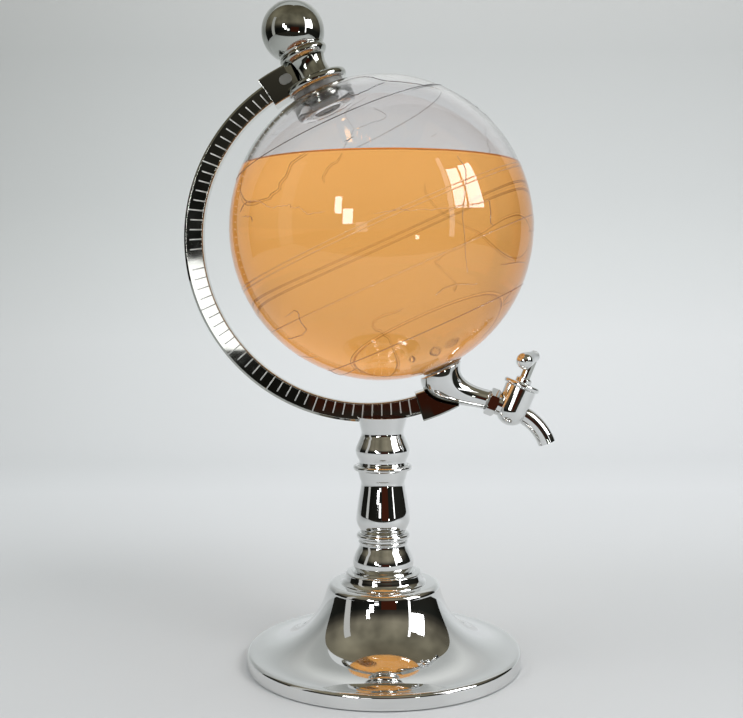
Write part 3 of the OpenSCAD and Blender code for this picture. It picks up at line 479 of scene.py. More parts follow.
def markTree(values, bar):  # places the bar at each mark; each one points at the globe's centre
    tree, given, result = geometryTree("armMarks", values)
    take = given.outputs

    def calc(kind, a, b=0.0):
        return addNode(tree, "ShaderNodeMath", {0: a, 1: b}, operation=kind).outputs[0]

    index = addNode(tree, "GeometryNodeInputIndex").outputs[0]
    latitude = calc("ADD", take["First"], calc("MULTIPLY", index, take["Step"]))
    turn = calc("RADIANS", latitude)
    sine, cosine = calc("SINE", turn), calc("COSINE", turn)
    dot = calc("SUBTRACT", calc("MULTIPLY", take["Offset"], cosine), calc("MULTIPLY", take["Drop"], sine))
    near, offset, drop = [calc("POWER", take[key], 2.0) for key in ("Near", "Offset", "Drop")]
    inside = calc("ADD", calc("POWER", dot, 2.0), calc("SUBTRACT", near, calc("ADD", offset, drop)))
    reach = calc("ADD", dot, calc("SQRT", inside))  # from the globe's centre to the arm's inner edge
    isLong = calc("COMPARE", calc("FLOORED_MODULO", latitude, take["Long Every"]))
    isLong.node.inputs[2].default_value = 0.5
    extra = calc("SUBTRACT", take["Long"], take["Short"])
    length = calc("ADD", take["Short"], calc("MULTIPLY", isLong, extra))
    across = calc("MULTIPLY", calc("MULTIPLY", reach, cosine), -1.0)
    rise = calc("MULTIPLY", reach, sine)
    spot = addNode(tree, "ShaderNodeCombineXYZ", {0: across, 1: rise, 2: take["Face"]})
    points = addNode(tree, "GeometryNodePoints", {"Count": take["Count"], "Position": spot.outputs[0]})
    shape = addNode(tree, "GeometryNodeObjectInfo", {"Object": bar})
    size = addNode(tree, "ShaderNodeCombineXYZ", {0: length, 1: take["Width"], 2: take["Height"]})
    lean = addNode(tree, "ShaderNodeCombineXYZ", {2: calc("SUBTRACT", pi, turn)})
    bars = addNode(tree, "GeometryNodeInstanceOnPoints", {
        "Points": points.outputs[0], "Instance": shape.outputs["Geometry"],
        "Rotation": lean.outputs[0], "Scale": size.outputs[0]})
    real = addNode(tree, "GeometryNodeRealizeInstances", {0: bars.outputs[0]})
    coat = addNode(tree, "GeometryNodeSetMaterial", {"Geometry": real.outputs[0], "Material": finish["mark"]})
    tree.links.new(coat.outputs[0], result.inputs[0])
    return tree


def makeMarks():
    corners = [(x, y, z) for x in (0, 1) for y in (-0.5, 0.5) for z in (-arm["markSink"], 1)]
    sides = [(0, 1, 3, 2), (4, 6, 7, 5), (0, 4, 5, 1), (2, 3, 7, 6), (0, 2, 6, 4), (1, 5, 7, 3)]
    bar = meshPiece("bar", corners, sides)
    bar.data.transform(Matrix.Scale(1 / mm, 4))  # one unit long, so that the tree's sizes stay in millimetres
    values = {
        "Count": arm["marks"], "First": arm["firstMark"], "Step": arm["markStep"],
        "Offset": arm["offset"], "Drop": arm["drop"], "Near": arm["inner"] + arm["innerBevel"],
        "Short": arm["short"], "Long": arm["long"], "Long Every": arm["longEvery"],
        "Width": arm["markWidth"], "Height": arm["markHeight"], "Face": arm["thick"] / 2}
    marks = grown("armMarks", markTree(values, bar), values)
    bpy.data.objects.remove(bar)
    marks.data.transform(Matrix.Scale(mm, 4) @ onAxis @ Matrix.Rotation(pi / 2, 4, "X"))
    softEdges(marks, arm["markEdge"], segments=2)
    done(marks, "stand", "dark_chrome", finish["mark"], "meridian_arm")


makeArm()
makeMarks()
print("arm done")


bracket = {
    "depth": 18, "wall": 3.6, "left": 100.6, "right": 88,
    "eye": 13.7, "wideEye": 17, "wideFrom": 120.56, "seat": 101,
    "ring": 21.2, "ringLow": 101.5, "ringThick": 5.9, "ringEdge": 2.8, "ringFlat": 0.2,
    "eyeEdge": 0.5, "eyeLowEdge": 0.3, "eyeFlat": 2,
    "lowDepth": 17, "lowInner": 2.0, "lowOuter": 4.6, "lowLeft": 262.9, "lowRight": 276.3,
    "innerEdge": 0.8, "outerEdge": 1.0, "cutEdge": 0.45, "lowCutEdge": 0.4,
    "eyeFrom": 90, "eyeTo": 150, "besideTo": 160, "besideWide": 60, "elbowDeep": 20,  # how far the cuts reach
}


def bracketBlock(low, high, start, end, depth):
    half, near, far = depth / 2, bracket["innerEdge"], bracket["outerEdge"]
    corners = [(low, -half, near), (high, -half, far), (high, half, far), (low, half, near)]
    return arcSwept("block", rounded(corners, 4, closed=True), start, end, step=0.5)


def roundPlug(r, low, high, place=onAxis):
    return turned("cut", [(0, low), (r, low), (r, high), (0, high)], place, segments=96)


def makeUpperBracket():
    b = bracket
    eye, r, low, turn = b["eye"], b["ring"], b["ringLow"], b["ringEdge"]
    top, flat, far = low + b["ringThick"], b["eyeFlat"], b["eyeTo"]
    wide, half = b["besideWide"], b["besideWide"] / 2
    inner, outer = arm["inner"] - b["wall"], arm["outer"] + b["wall"]
    block = bracketBlock(inner, outer, b["right"], b["left"], b["depth"])
    eyePlug, widePlug = roundPlug(eye, b["eyeFrom"], far), roundPlug(b["wideEye"], b["wideFrom"], far)
    ball = turned("cut", arc(0, 0, b["seat"], -90, 90, 180), onAxis, segments=192)
    corners = [(0, -half), (wide, -half), (wide, half), (0, half)]
    beside = swept("cut", [[(x, y, z) for x, y in corners] for z in (top, b["besideTo"])], onAxis)
    shapedBy(block, [eyePlug, widePlug, ball, beside])
    softEdges(block, b["cutEdge"])
    ring = rounded([(eye, low + flat, 0), (eye, low, b["eyeLowEdge"]), (r - turn, low, 0)], 3)[:-1]
    ring += arc(r - turn, low + turn, turn, -90, 0, 10) + arc(r - turn, top - turn, turn, 0, 90, 10)
    start = (r - turn - b["ringFlat"], top, 0)
    ring += rounded([start, (eye, top, b["eyeEdge"]), (eye, top - flat, 0)], 4)[1:]
    collar = turned("collar", ring, onAxis, closed=True)
    piece = joined("upperBracket", [block, collar])
    done(piece, "stand", "dark_chrome", finish["dark_chrome"], "upper_bracket")


elbow = {
    "path": [(-1.9, -101), (-8, -114), (3.5, -121), (17.8, -132)], "mouth": 14.75, "end": 6.8, "turn": 43.7,
    "rings": 48, "sides": 64, "edge": 0.4, "gap": 0.1,
    "spigot": 8, "spigotTop": -86.5, "spigotLow": -103, "spigotEdge": 0.5, "bore": 5.5, "boreEdge": 0.4,
}


def elbowAt(t):  # middle, radius and lean of the elbow's ring
    a, b, c, d = [Vector(p) for p in elbow["path"]]
    middle = a * (1 - t) ** 3 + 3 * t * (1 - t) ** 2 * b + 3 * t * t * (1 - t) * c + d * t ** 3
    taper = cos(pi / 2 * t) ** 2
    return middle, elbow["end"] + (elbow["mouth"] - elbow["end"]) * taper, radians(elbow["turn"]) * t


def elbowEdge(side, steps=30):  # the elbow's outline from the front
    points = []
    for i in range(steps + 1):
        middle, r, lean = elbowAt(i / steps)
        points.append(middle + (r + elbow["gap"]) * side * Vector((cos(lean), sin(lean))))
    return points


def makeLowerBracket():
    b = bracket
    low, high = arm["inner"] - b["lowInner"], arm["outer"] + b["lowOuter"]
    block = bracketBlock(low, high, b["lowLeft"], b["lowRight"], b["lowDepth"])
    edge = elbowEdge(1) + elbowEdge(-1)[::-1]
    front = swept("cut", [[(p.x, y, p.y) for p in edge] for y in (-b["elbowDeep"], 0)], onAxis)
    shapedBy(block, [front])
    softEdges(block, b["lowCutEdge"])
    done(block, "stand", "dark_chrome", finish["dark_chrome"], "lower_bracket")


screwCover = {
    "long": 8.6, "wide": 6.6, "at": 93.2, "out": 1, "sides": 64,
    # inset, and height over the bracket's front
    "edge": [(0, -1.2), (0, 0), (0.05, 0.12), (0.2, 0.25), (0.5, 0.3), (2.9, 0.3)],
}


def makeScrewCover():
    count, top, rings = screwCover["sides"], bracket["depth"] / 2, []
    turns = [2 * pi * k / count for k in range(count)]
    for inset, rise in screwCover["edge"]:
        a, b = screwCover["long"] / 2 - inset, screwCover["wide"] / 2 - inset
        rings.append([(b * cos(t), (a - b) * (1 if k < count / 2 else -1) + b * sin(t), top + rise)
                      for k, t in enumerate(turns)])
    middle = (arm["inner"] + arm["outer"]) / 2 + screwCover["out"]
    place = onArm @ Matrix.Rotation(radians(screwCover["at"]), 4, "Z") @ Matrix.Translation((middle, 0, 0))
    done(swept("screwCover", rings, place), "stand", "cover_metal", finish["cover_metal"], "screw_cap")


makeUpperBracket()
makeLowerBracket()
makeScrewCover()
print("brackets done")


def makeUpperHalf():
    g = globe
    outer, inner, bore, neck = g["radius"], g["radius"] - g["wall"], g["neckBore"], g["neck"]
    collar, turn, root = g["collar"], g["collarRound"], g["collarRoot"]
    top, low = outer + g["neckRise"], outer - g["collarDepth"]
    upper, lower = [low + rise for rise in g["boreRings"]]
    outline = [p for p in arc(0, 0, outer, 0, 90, 120) if p[0] > neck + g["neckRoot"]]
    outline += rounded([
        (*outline[-1], 0), (neck, sqrt(outer ** 2 - neck ** 2), g["neckRoot"]), (neck, top, g["neckEdge"]),
        (bore, top, g["boreEdge"]), (bore, upper, 0)], 4)[1:]
    outline += rounded([(bore, lower, 0), (bore, low, g["collarEdge"]), (collar - turn, low, 0)], 4)[1:]
    outline += arc(collar - turn, low + turn, turn, -90, 0, 12)
    outline += rounded([
        (collar, low + g["collarRing"], 0), (collar, sqrt(inner ** 2 - collar ** 2), root),
        (*arc(0, 0, inner, g["rootTurn"], 0)[0], 0)], 4)[1:-1]
    outline += [p for p in arc(0, 0, inner, g["wallTurn"], 0, 100) if p[0] > collar + g["wallClear"]]
    half = turned("globeUpper", outline, onAxis, g["sides"], closed=True)
    done(half, "stand", "clear", finish["clear"], "globe_upper")


def makeLowerHalf():
    g = globe
    outer, inner, boss, hole = g["radius"], g["radius"] - g["wall"], g["boss"], g["hole"]
    seat = -outer + g["bossThick"]
    outline = [(hole, -outer), (boss, -outer)] + [p for p in arc(0, 0, outer, -90, 0, 120) if p[0] > boss]
    outline += [p for p in arc(0, 0, inner, 0, -90, 120) if p[0] > boss + g["bossEdge"]]
    outline += rounded([(boss, outline[-1][1], 0), (boss, seat, g["bossEdge"]), (hole, seat, 0)], 4)
    half = turned("globeLower", outline, onAxis, g["sides"], closed=True)
    done(half, "stand", "clear", finish["clear"], "globe_lower")


relief = {
    "width": 0.75, "height": 0.3, "root": 0.3,
    # shares of half the width, and of the height
    "side": [(1, 0.2), (0.5, 0.85), (0, 1), (-0.5, 0.85), (-1, 0.2)],
    "tip": 0.3, "growth": 0.35, "jitter": 0.55, "seed": 4, "turns": (0, 130, 235), "turnedHeight": 0.5,
    "parallels": (42, -19, -45, 0.7, -0.7), "parallelStep": 1.5, "sharp": 60,
    "lines": [  # latitude and longitude of each raised line, in degrees
        [(30, -91), (30, -87)],
        [(25, -148), (27, -143), (25, -134), (22, -130), (20, -127),
         (18, -120), (16, -118), (15, -115), (12, -113), (10, -107)],
        [(23, -146), (21, -140), (19, -139)],
        [(2, -92), (0, -84), (-4, -74), (-8, -58), (-9, -51), (-15, -53), (-17, -52)],
        [(9, -56), (3, -56), (-10, -64), (-29, -68)],
        [(-32, -83), (-31, -76), (-35, -64)],
        [(-32, -50), (-33, -42), (-36, -26)],
        [(-16, -144), (-16, -136), (-20, -138), (-24, -139), (-25, -147), (-24, -156)],
        [(65, -83), (63, -56), (52, -53), (48, -47), (38, -32)],
        [(57, -76), (50, -77), (49, -72), (50, -65), (51, -54)],
        [(41, -49), (42, -20)],
        [(-43, -160), (-50, -173), (-49, -140)],
    ],
}


def onBall(latitude, longitude):
    a, b = radians(latitude), radians(longitude)
    return Vector((cos(a) * cos(b), cos(a) * sin(b), sin(a)))


def ridge(path, closed=False, rise=1.0):  # a low raised line on the globe, thinner at its two ends
    spots = [onBall(*p) for p in path]
    last = len(spots) - 1
    rings = []
    for i, up in enumerate(spots):
        ahead = spots[(i + 1) % len(spots)] if closed else spots[min(i + 1, last)]
        behind = spots[i - 1] if closed else spots[max(i - 1, 0)]
        across = (ahead - behind).cross(up).normalized()
        size = 1 if closed else min(1, relief["tip"] + relief["growth"] * min(i, last - i))
        half, tall, root = relief["width"] / 2 * size, relief["height"] * size * rise, relief["root"]
        outline = [(-half, -root), (half, -root)] + [(x * half, z * tall) for x, z in relief["side"]]
        rings.append([tuple(up * (globe["radius"] + z) + across * x) for x, z in outline])
    return swept("ridge", rings, onAxis, relief["sharp"], closed)


def makeRelief():
    step = relief["parallelStep"]
    ridges = [ridge([(latitude, step * k) for k in range(int(360 / step))], closed=True)
              for latitude in relief["parallels"]]
    draw = Random(relief["seed"])
    for turn in relief["turns"]:
        for path in relief["lines"]:
            shake = [relief["jitter"] * (draw.random() - 0.5) for k in range(12 * len(path))]
            line = [(latitude + shake[2 * k], longitude + turn + shake[2 * k + 1])
                    for k, (latitude, longitude) in enumerate(flowing(path, 5))]
            ridges.append(ridge(line, rise=relief["turnedHeight"] if turn else 1.0))
    done(joined("globeRelief", ridges), "stand", "clear", finish["clear"])


drink = {"level": 328.8, "overlap": 0.12, "meniscus": 1.6, "meniscusWide": 3.2, "meniscusPower": 2.6}


def makeDrink():
    r = globe["radius"] - globe["wall"] + drink["overlap"]
    h = drink["level"] - globe["height"]
    rise, wide, power = drink["meniscus"], drink["meniscusWide"], drink["meniscusPower"]
    edge = sqrt(r ** 2 - (h + rise) ** 2)
    outline = [(0, -r)] + [p for p in arc(0, 0, r, -90, 90, 180)[1:] if p[1] < h + rise - 0.2]
    outline += [(edge - wide * t, h + rise * (1 - t) ** power) for t in [i / 10 for i in range(11)]]
    outline += [(edge * k / 6, h) for k in range(5, -1, -1)]
    body = turned("drink", outline, Matrix.Translation(globeCentre), globe["sides"])
    done(body, "stand", "clear", finish["drink"])


makeUpperHalf()
makeLowerHalf()
makeRelief()
makeDrink()
print("globe done")


cap = {
    "seat": 107.6, "ball": 20.6, "ballFrom": -39, "stem": 20.9,
    "foot": 13.2, "footEdge": 0.4, "neck": 16, "neckEdge": 0.3,
    # how much wider than the foot, and then than the neck, at shares of the stem's height
    "waist": [(0, 0), (-0.7, 0.11), (-1.4, 0.28), (-1.5, 0.43), (-0.8, 0.57), (-0.2, 0.64)],
    "bead": [(-1.6, 0.68), (0, 0.78), (0.1, 0.87), (-0.7, 0.94), (-0.5, 0.97)],
}


def makeCap():
    z, stem, low, neck = cap["seat"], cap["stem"], cap["foot"], cap["neck"]
    ballZ = z + stem + sqrt(cap["ball"] ** 2 - neck ** 2)
    waist = flowing([(low + more, share) for more, share in cap["waist"]])
    ring = flowing([(neck + more, share) for more, share in cap["bead"]])
    outline = [(0, z), (low - cap["footEdge"], z)] + [(r, z + share * stem) for r, share in waist[1:] + ring]
    outline += [(neck - cap["neckEdge"], z + stem)] + arc(0, ballZ, cap["ball"], cap["ballFrom"], 90, 80)
    done(turned("capKnob", outline, onAxis), "cap", "dark_chrome", finish["dark_chrome"], "cap_knob")


makeCap()
print("cap done")


def makeElbow():
    e = elbow
    turns = [2 * pi * k / e["sides"] for k in range(e["sides"])]
    rings = []
    for i in range(e["rings"]):
        middle, r, lean = elbowAt(i / (e["rings"] - 1))
        rings.append([(middle.x + r * cos(a) * cos(lean), r * sin(a), middle.y + r * cos(a) * sin(lean))
                      for a in turns])
    pipe = swept("pipe", rings, onAxis)
    softEdges(pipe, e["edge"], angle=50)
    wall = rounded([
        (e["bore"], e["spigotLow"], 0), (e["spigot"], e["spigotLow"], 0),
        (e["spigot"], e["spigotTop"], e["spigotEdge"]), (e["bore"], e["spigotTop"], e["boreEdge"])], 3)
    spigot = turned("spigot", wall, onAxis, segments=64, closed=True)
    done(joined("outletElbow", [pipe, spigot]), "stand", "chrome", finish["chrome"], "outlet_elbow")


tap = {
    "barrel": 10.6, "height": 16, "barrelFrom": 1, "barrelEdge": 0.3, "inlet": 18.3,
    "nipple": 5.15, "nippleFrom": -7, "pipe": 7.2, "pipeFrom": 7.6, "pipeTo": 14,
    "nut": 9.3, "nutLong": 6.4, "nutEdge": 0.9, "nutFrom": 1, "nutGap": 0.05, "nutSoft": 0.2,
    "spout": 5.9, "spoutBore": 4.4, "spoutSides": 48, "mouthRound": 0.3, "mouthOuter": 0.4,
    "bend": 37, "bendStart": 5, "bendTurn": 52, "bendSteps": 36, "boreSteps": 30,
    "flange": 12.3, "flangeThick": 3.5, "flangeEdge": 1.5, "flangeSoft": 0.3,
    "boss": 5.4, "bossRise": 3.6, "bossEdge": 1, "bossRoot": 0.5,
    "stem": 3.3, "stemGap": 0.05, "stemFrom": 8, "stemEdge": 0.2, "stemTop": 0.4,
    "leverRise": 22.5, "leverYaw": 62, "leverDroop": 20,
    "hub": 4, "round": 5.6, "leverLong": 14.4, "leverBlend": 6,
    "leverThin": (0.25, 0.3), "leverSwell": (0.4, 0.72),  # a step, and its share of the length
}


def spoutRing(r, turn):
    a = radians(90 + tap["bendStart"] - turn)
    start = radians(tap["bendStart"])
    middle = Vector((tap["bend"] * sin(start), 0, -tap["bend"] * cos(start)))
    out = Vector((cos(a), 0, sin(a)))
    centre = middle + out * tap["bend"]
    turns = [2 * pi * k / tap["spoutSides"] for k in range(tap["spoutSides"])]
    return [tuple(centre + out * r * cos(t) + Vector((0, r * sin(t), 0))) for t in turns]


def makeTapBody():
    t = tap
    r, top = t["barrel"], t["height"]
    outline = arc(0, 0, r, -90, 0, 30) + rounded(
        [(r, t["barrelFrom"], 0), (r, top, t["barrelEdge"]), (0, top, 0)], 3)[1:]
    barrel = turned("barrel", outline, onTap, segments=96)
    along = onTap @ Matrix.Translation((-t["inlet"], 0, 0)) @ Matrix.Rotation(pi / 2, 4, "Y")
    inlet = turned("inlet", [
        (0, t["nippleFrom"]), (t["nipple"], t["nippleFrom"]), (t["nipple"], t["pipeFrom"]),
        (t["pipe"], t["pipeFrom"]), (t["pipe"], t["pipeTo"]), (0, t["pipeTo"])], along, segments=72)
    last = t["bendTurn"]
    turns = [last * i / t["bendSteps"] for i in range(t["bendSteps"] + 1)]
    rings = [spoutRing(t["spout"], turn) for turn in turns]
    mouth = last + t["mouthRound"]
    rings.append(spoutRing(t["spout"] - t["mouthOuter"], mouth))
    rings.append(spoutRing(t["spoutBore"] + t["mouthRound"], mouth))
    rings += [spoutRing(t["spoutBore"], turn) for turn in turns[::-1][:t["boreSteps"]]]
    spout = swept("spout", rings, onTap)
    done(joined("tapBody", [barrel, inlet, spout]), "stand", "chrome", finish["chrome"], "tap_body")


def makeLockNut():
    r, long, edge = tap["nut"], tap["nutLong"], tap["nutEdge"]
    start = Matrix.Translation((tap["nutFrom"] - tap["inlet"], 0, 0))
    along = onTap @ start @ Matrix.Rotation(pi / 2, 4, "Y")
    corners = [(r * cos(pi * k / 3), r * sin(pi * k / 3)) for k in range(6)]
    nut = swept("nut", [[(x, y, z) for x, y in corners] for z in (0, long)], along)
    outline = [(0, 0), (r - edge, 0), (r, edge), (r, long - edge), (r - edge, long), (0, long)]
    shapedBy(nut, [turned("outside", outline, along, segments=96)], "INTERSECT")
    shapedBy(nut, [roundPlug(tap["nipple"] + tap["nutGap"], -1, long + 1, along)])
    softEdges(nut, tap["nutSoft"], angle=20)
    done(nut, "stand", "chrome", finish["chrome"], "lock_nut")


def makeBonnet():
    t = tap
    z, bore = t["height"], t["stem"] + t["stemGap"]
    r, edge, soft = t["flange"], t["flangeEdge"], t["flangeSoft"]
    boss, slope, root = t["boss"], t["bossEdge"], t["bossRoot"]
    up = z + t["flangeThick"]
    top = up + t["bossRise"]
    outline = [(bore, z)] + arc(r - edge, z + edge, edge, -90, 0, 8)
    outline += arc(r - edge, up - edge, edge, 0, 90, 8)
    outline += rounded([
        (r - edge - soft, up, 0), (boss, up, root), (boss, top - slope, soft), (boss - slope, top, soft),
        (bore, top, 0)], 4)
    bonnet = turned("bonnet", outline, onTap, closed=True)
    done(bonnet, "stand", "chrome", finish["chrome"], "tap_bonnet")


def makeLever():
    t = tap
    r, low, top = t["stem"], t["stemFrom"], t["height"] + t["leverRise"]
    side = rounded([(0, low, 0), (r, low, t["stemEdge"]), (r, top, t["stemTop"]), (0, top, 0)], 4)
    stem = turned("stem", side, onTap, segments=64)
    done(stem, "valve", "dark_chrome", finish["dark_chrome"], "tap_stem")
    hub, big, long, blend = t["hub"], t["round"], t["leverLong"], t["leverBlend"]
    (more, thinAt), (less, swellAt) = t["leverThin"], t["leverSwell"]
    side = flowing([(hub, 0), (hub + more, thinAt * long), (big - less, swellAt * long), (big, long)], 10)
    drop = arc(0, 0, hub, -90, -blend, 20) + side + arc(0, long, big, blend, 90, 20)
    drop[0], drop[-1] = (0, -hub), (0, long + big)
    place = onTap @ Matrix.Translation((0, 0, top)) @ Matrix.Rotation(radians(180 + t["leverYaw"]), 4, "Z")
    place = place @ Matrix.Rotation(radians(90 + t["leverDroop"]), 4, "Y")
    lever = turned("lever", drop, place, segments=96)
    done(lever, "valve", "chrome", finish["chrome"], "tap_lever")


makeElbow()
makeTapBody()
makeLockNut()
makeBonnet()
makeLever()
print("elbow and tap done")


studio = {
    "front": -3600, "floorLines": (-1200, -300, 0, 300, 600), "bend": 900, "bendRadius": 450,
    "high": 3600, "half": 3600, "wallSteps": 8, "sharp": 60, "shadowFrom": -720, "shadowRise": 1.5,
    # tones of the near floor's shadow, of the light all round, and of the surroundings as they are seen
    "shadow": (0.03, 0.028, 0.022), "air": (0.55, 0.57, 0.57), "seen": (0.7, 0.72, 0.72),
    "sheet": [  # painted light and shade: tones of the sheet, from under the object back over the floor and up the wall
        (0, (0.66, 0.67, 0.68)), (0.05, (0.7, 0.71, 0.72)), (0.1, (0.78, 0.79, 0.805)),
        (0.16, (0.86, 0.87, 0.89)), (0.4, (0.87, 0.88, 0.89)), (0.51, (0.8, 0.815, 0.815)),
        (0.7, (0.66, 0.67, 0.665)), (0.8, (0.7, 0.7, 0.69)), (1, (0.92, 0.92, 0.9))],
    # painted shade across the sheet: darker at the left, paler towards the middle
    "side": [(0, (0.8, 0.8, 0.79)), (0.45, (0.92, 0.925, 0.92)), (0.8, (1, 1, 1)), (1, (1, 1, 1))],
    "sheetTo": 2, "sideFrom": -0.9, "sideTo": 0.1,  # where that painted light and shade runs, in metres
    "room": [  # tones of the room from its floor up
        (0, (0.02, 0.016, 0.012)), (0.3, (0.012, 0.012, 0.01)), (0.42, (0.012, 0.013, 0.011)),
        (0.5, (0.05, 0.045, 0.035)), (0.62, (0.21, 0.19, 0.14)), (0.85, (0.23, 0.21, 0.15)),
        (1, (0.14, 0.12, 0.08))],
    "roomRadius": 1700, "roomCentre": 250, "roomSpan": (-112, 122, -28, 89),
    "roomLow": -0.6, "roomHigh": 1.95,
    "patches": [  # name, the four angles of its edges, colour, strength, how far inside the room
        ("redCloth", (-5, 24, -28, 9), (0.05, 0.012, 0.006), 1, 60),
        ("paleSide", (-78, -66, -8, 40), (0.55, 0.55, 0.53), 1, 60),
        ("windowBand", (48, 52, -6, 44), (1, 1, 1), 3, 60),
        ("windowPaneA", (53, 63, 12, 36), (1, 1, 1), 14, 60),
        ("windowPaneB", (65, 78, 12, 37), (0.97, 0.98, 1), 14, 60),
        ("lamp", (-27, -20, 2, 12), (1, 1, 1), 16, 100),
        ("lampTop", (-33, -28, 9, 20), (1, 1, 1), 16, 100),
        ("gleam", (23, 26, -15, -6), (0.9, 1, 0.9), 14, 100),
        ("paleLow", (-18, -10, -3.8, 2.9), (1, 1, 1), 2.5, 100)],
    "lights": [  # name, place, aim, width, height in metres, watts
        ("keyLight", (0.9, -0.8, 1.3), (0, 0, 0.25), 0.8, 0.8, 10),
        ("fillLight", (-1.2, -0.4, 1.2), (0, 0, 0.2), 1.0, 1.0, 6),
        ("backLight", (0.3, 0.1, 1.7), (0.1, 1.1, 0.1), 1.2, 0.8, 4)],
    "lens": 50.92, "sensor": 36, "camera": (-0.007, -0.7, 0.242), "tilt": -3.1, "roll": -0.4,
}


def glowing(name, color, strength=1.0):  # a surface that only shines
    material = bpy.data.materials.new(name)
    material.use_nodes = True
    tree = material.node_tree
    tree.nodes.clear()
    out = tree.nodes.new("ShaderNodeOutputMaterial")
    glow = addNode(tree, "ShaderNodeEmission", {"Color": (*color, 1), "Strength": strength})
    tree.links.new(glow.outputs[0], out.inputs[0])
    return material, tree, glow


def ramp(tree, value, low, high, stops):  # tones at shares of the way from low to high
    share = addNode(tree, "ShaderNodeMapRange", {"Value": value, "From Min": low, "From Max": high})
    node = addNode(tree, "ShaderNodeValToRGB", {0: share.outputs[0]})
    elements = node.color_ramp.elements
    while len(elements) < len(stops):
        elements.new(0.5)
    for element, (place, color) in zip(elements, stops):
        element.position = place
        element.color = (*color, 1)
    return node.outputs[0]


def placeParts(tree):  # X, Y and Z on the object
    place = addNode(tree, "ShaderNodeTexCoord")
    return addNode(tree, "ShaderNodeSeparateXYZ", {0: place.outputs["Object"]}).outputs


def makeSheet():  # pale sheet: the floor, a soft bend and the wall behind, without a horizon, with painted light and shade in its colour
    bend, r, half, high = studio["bend"], studio["bendRadius"], studio["half"], studio["high"]
    count = studio["wallSteps"]
    profile = [(y, 0) for y in (studio["front"], *studio["floorLines"])] + arc(bend, r, r, -90, 0, 40)
    profile += [(bend + r, r + (high - r) * k / count) for k in range(1, count + 1)]
    points = [(x, y, z) for y, z in profile for x in (-half, half)]
    faces = [(2 * i, 2 * i + 1, 2 * i + 3, 2 * i + 2) for i in range(len(profile) - 1)]
    sheet = meshPiece("paleSheet", points, faces, sharp=studio["sharp"], outward=False)
    material, tree, shader = newMaterial("paleSheet", {"Roughness": 0.7, "Specular IOR Level": 0.2})
    x, y, z = placeParts(tree)  # the painted light and shade follow half of Y, and Z
    depth = addNode(tree, "ShaderNodeMath", {0: y, 1: 0.5, 2: z}, operation="MULTIPLY_ADD")
    shade = addNode(tree, "ShaderNodeMix", {0: 1.0}, data_type="RGBA", blend_type="MULTIPLY")
    tree.links.new(ramp(tree, depth.outputs[0], 0, studio["sheetTo"], studio["sheet"]), shade.inputs[6])
    tree.links.new(ramp(tree, x, studio["sideFrom"], studio["sideTo"], studio["side"]), shade.inputs[7])
    tree.links.new(shade.outputs[2], shader.inputs["Base Color"])
    sheet.data.materials.append(material)


def onlyReflected(piece, material):  # seen in shiny surfaces and nowhere else
    piece.data.materials.append(material)
    piece.visible_camera = piece.visible_shadow = piece.visible_diffuse = False
    piece.visible_transmission = piece.visible_volume_scatter = False


def dome(name, span, radius, across=32, up=24):  # part of a ball round the object: azimuth 0 is the front
    start, end, low, high = span
    points = []
    for i in range(across + 1):
        for k in range(up + 1):
            turn = radians(start + (end - start) * i / across)
            lift = radians(low + (high - low) * k / up)
            ahead = Vector((sin(turn), -cos(turn), 0)) * cos(lift) + Vector((0, 0, sin(lift)))
            points.append(ahead * radius + Vector((0, 0, studio["roomCentre"])))
    faces = [(i * (up + 1) + k, (i + 1) * (up + 1) + k, (i + 1) * (up + 1) + k + 1, i * (up + 1) + k + 1)
             for i in range(across) for k in range(up)]
    return meshPiece(name, points, faces, sharp=studio["sharp"], outward=False)


def makeRoom():  # the unlit room in front of the table
    room = dome("darkRoom", studio["roomSpan"], studio["roomRadius"])
    material, tree, glow = glowing("darkRoom", (0, 0, 0))
    tone = ramp(tree, placeParts(tree)[2], studio["roomLow"], studio["roomHigh"], studio["room"])
    tree.links.new(tone, glow.inputs["Color"])
    tree.links.new(cloudy(tree, scale=0.9, detail=2, low=0.55, high=1.4), glow.inputs["Strength"])
    onlyReflected(room, material)


def makePatch(name, span, color, strength, closer):  # one bright or dark part of the room
    onlyReflected(dome(name, span, studio["roomRadius"] - closer), glowing(name, color, strength)[0])


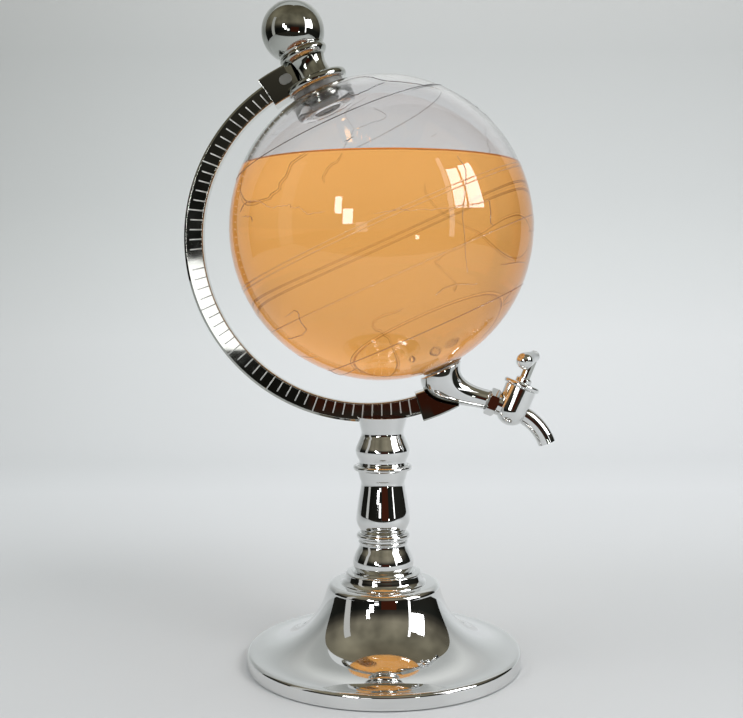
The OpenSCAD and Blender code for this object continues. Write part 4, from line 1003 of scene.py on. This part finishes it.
def makeDarkFront():  # the near end of the sheet lies in shadow
    low, high, half, z = studio["front"], studio["shadowFrom"], studio["half"], studio["shadowRise"]
    points = [(-half, low, z), (half, low, z), (half, high, z), (-half, high, z)]
    piece = meshPiece("darkFront", points, [(0, 1, 2, 3)], outward=False)
    onlyReflected(piece, glowing("darkFront", studio["shadow"])[0])


def makeWorld():  # soft light from all round, and a paler tone where the surroundings are seen past the sheet
    world = bpy.data.worlds.new("paleRoom")
    bpy.context.scene.world = world
    world.use_nodes = True
    tree = world.node_tree
    rays = addNode(tree, "ShaderNodeLightPath").outputs
    direct = addNode(tree, "ShaderNodeMath", {0: rays["Is Camera Ray"], 1: rays["Is Glossy Ray"]})
    seen = addNode(tree, "ShaderNodeMath", {0: direct.outputs[0], 1: rays["Is Transmission Ray"]})
    tone = addNode(tree, "ShaderNodeMix", {0: seen.outputs[0]}, data_type="RGBA")
    tone.inputs[6].default_value = (*studio["air"], 1)
    tone.inputs[7].default_value = (*studio["seen"], 1)
    tree.links.new(tone.outputs[2], tree.nodes["Background"].inputs[0])


def areaLight(name, place, aim, width, height, power):  # lights the surfaces; what shines in them is the room
    data = bpy.data.lights.new(name, "AREA")
    data.shape = "RECTANGLE"
    data.size, data.size_y, data.energy = width, height, power
    lamp = bpy.data.objects.new(name, data)
    lamp.location = place
    lamp.rotation_mode = "QUATERNION"
    lamp.rotation_quaternion = (Vector(aim) - Vector(place)).to_track_quat("-Z", "Y")
    lamp.visible_glossy = lamp.visible_transmission = False
    bpy.context.collection.objects.link(lamp)


def makeCamera():
    data = bpy.data.cameras.new("view")
    data.sensor_width, data.lens = studio["sensor"], studio["lens"]
    data.clip_start, data.clip_end = 0.01, 50
    camera = bpy.data.objects.new("view", data)
    camera.location = studio["camera"]
    upright = Matrix.Rotation(radians(90 + studio["tilt"]), 3, "X")
    camera.rotation_euler = (upright @ Matrix.Rotation(radians(studio["roll"]), 3, "Z")).to_euler()
    bpy.context.collection.objects.link(camera)
    bpy.context.scene.camera = camera


makeSheet()
makeWorld()
makeRoom()
makeDarkFront()
for values in studio["patches"]:
    makePatch(*values)
for values in studio["lights"]:
    areaLight(*values)
makeCamera()
bpy.context.scene.view_settings.view_transform = "Standard"
print("studio done")
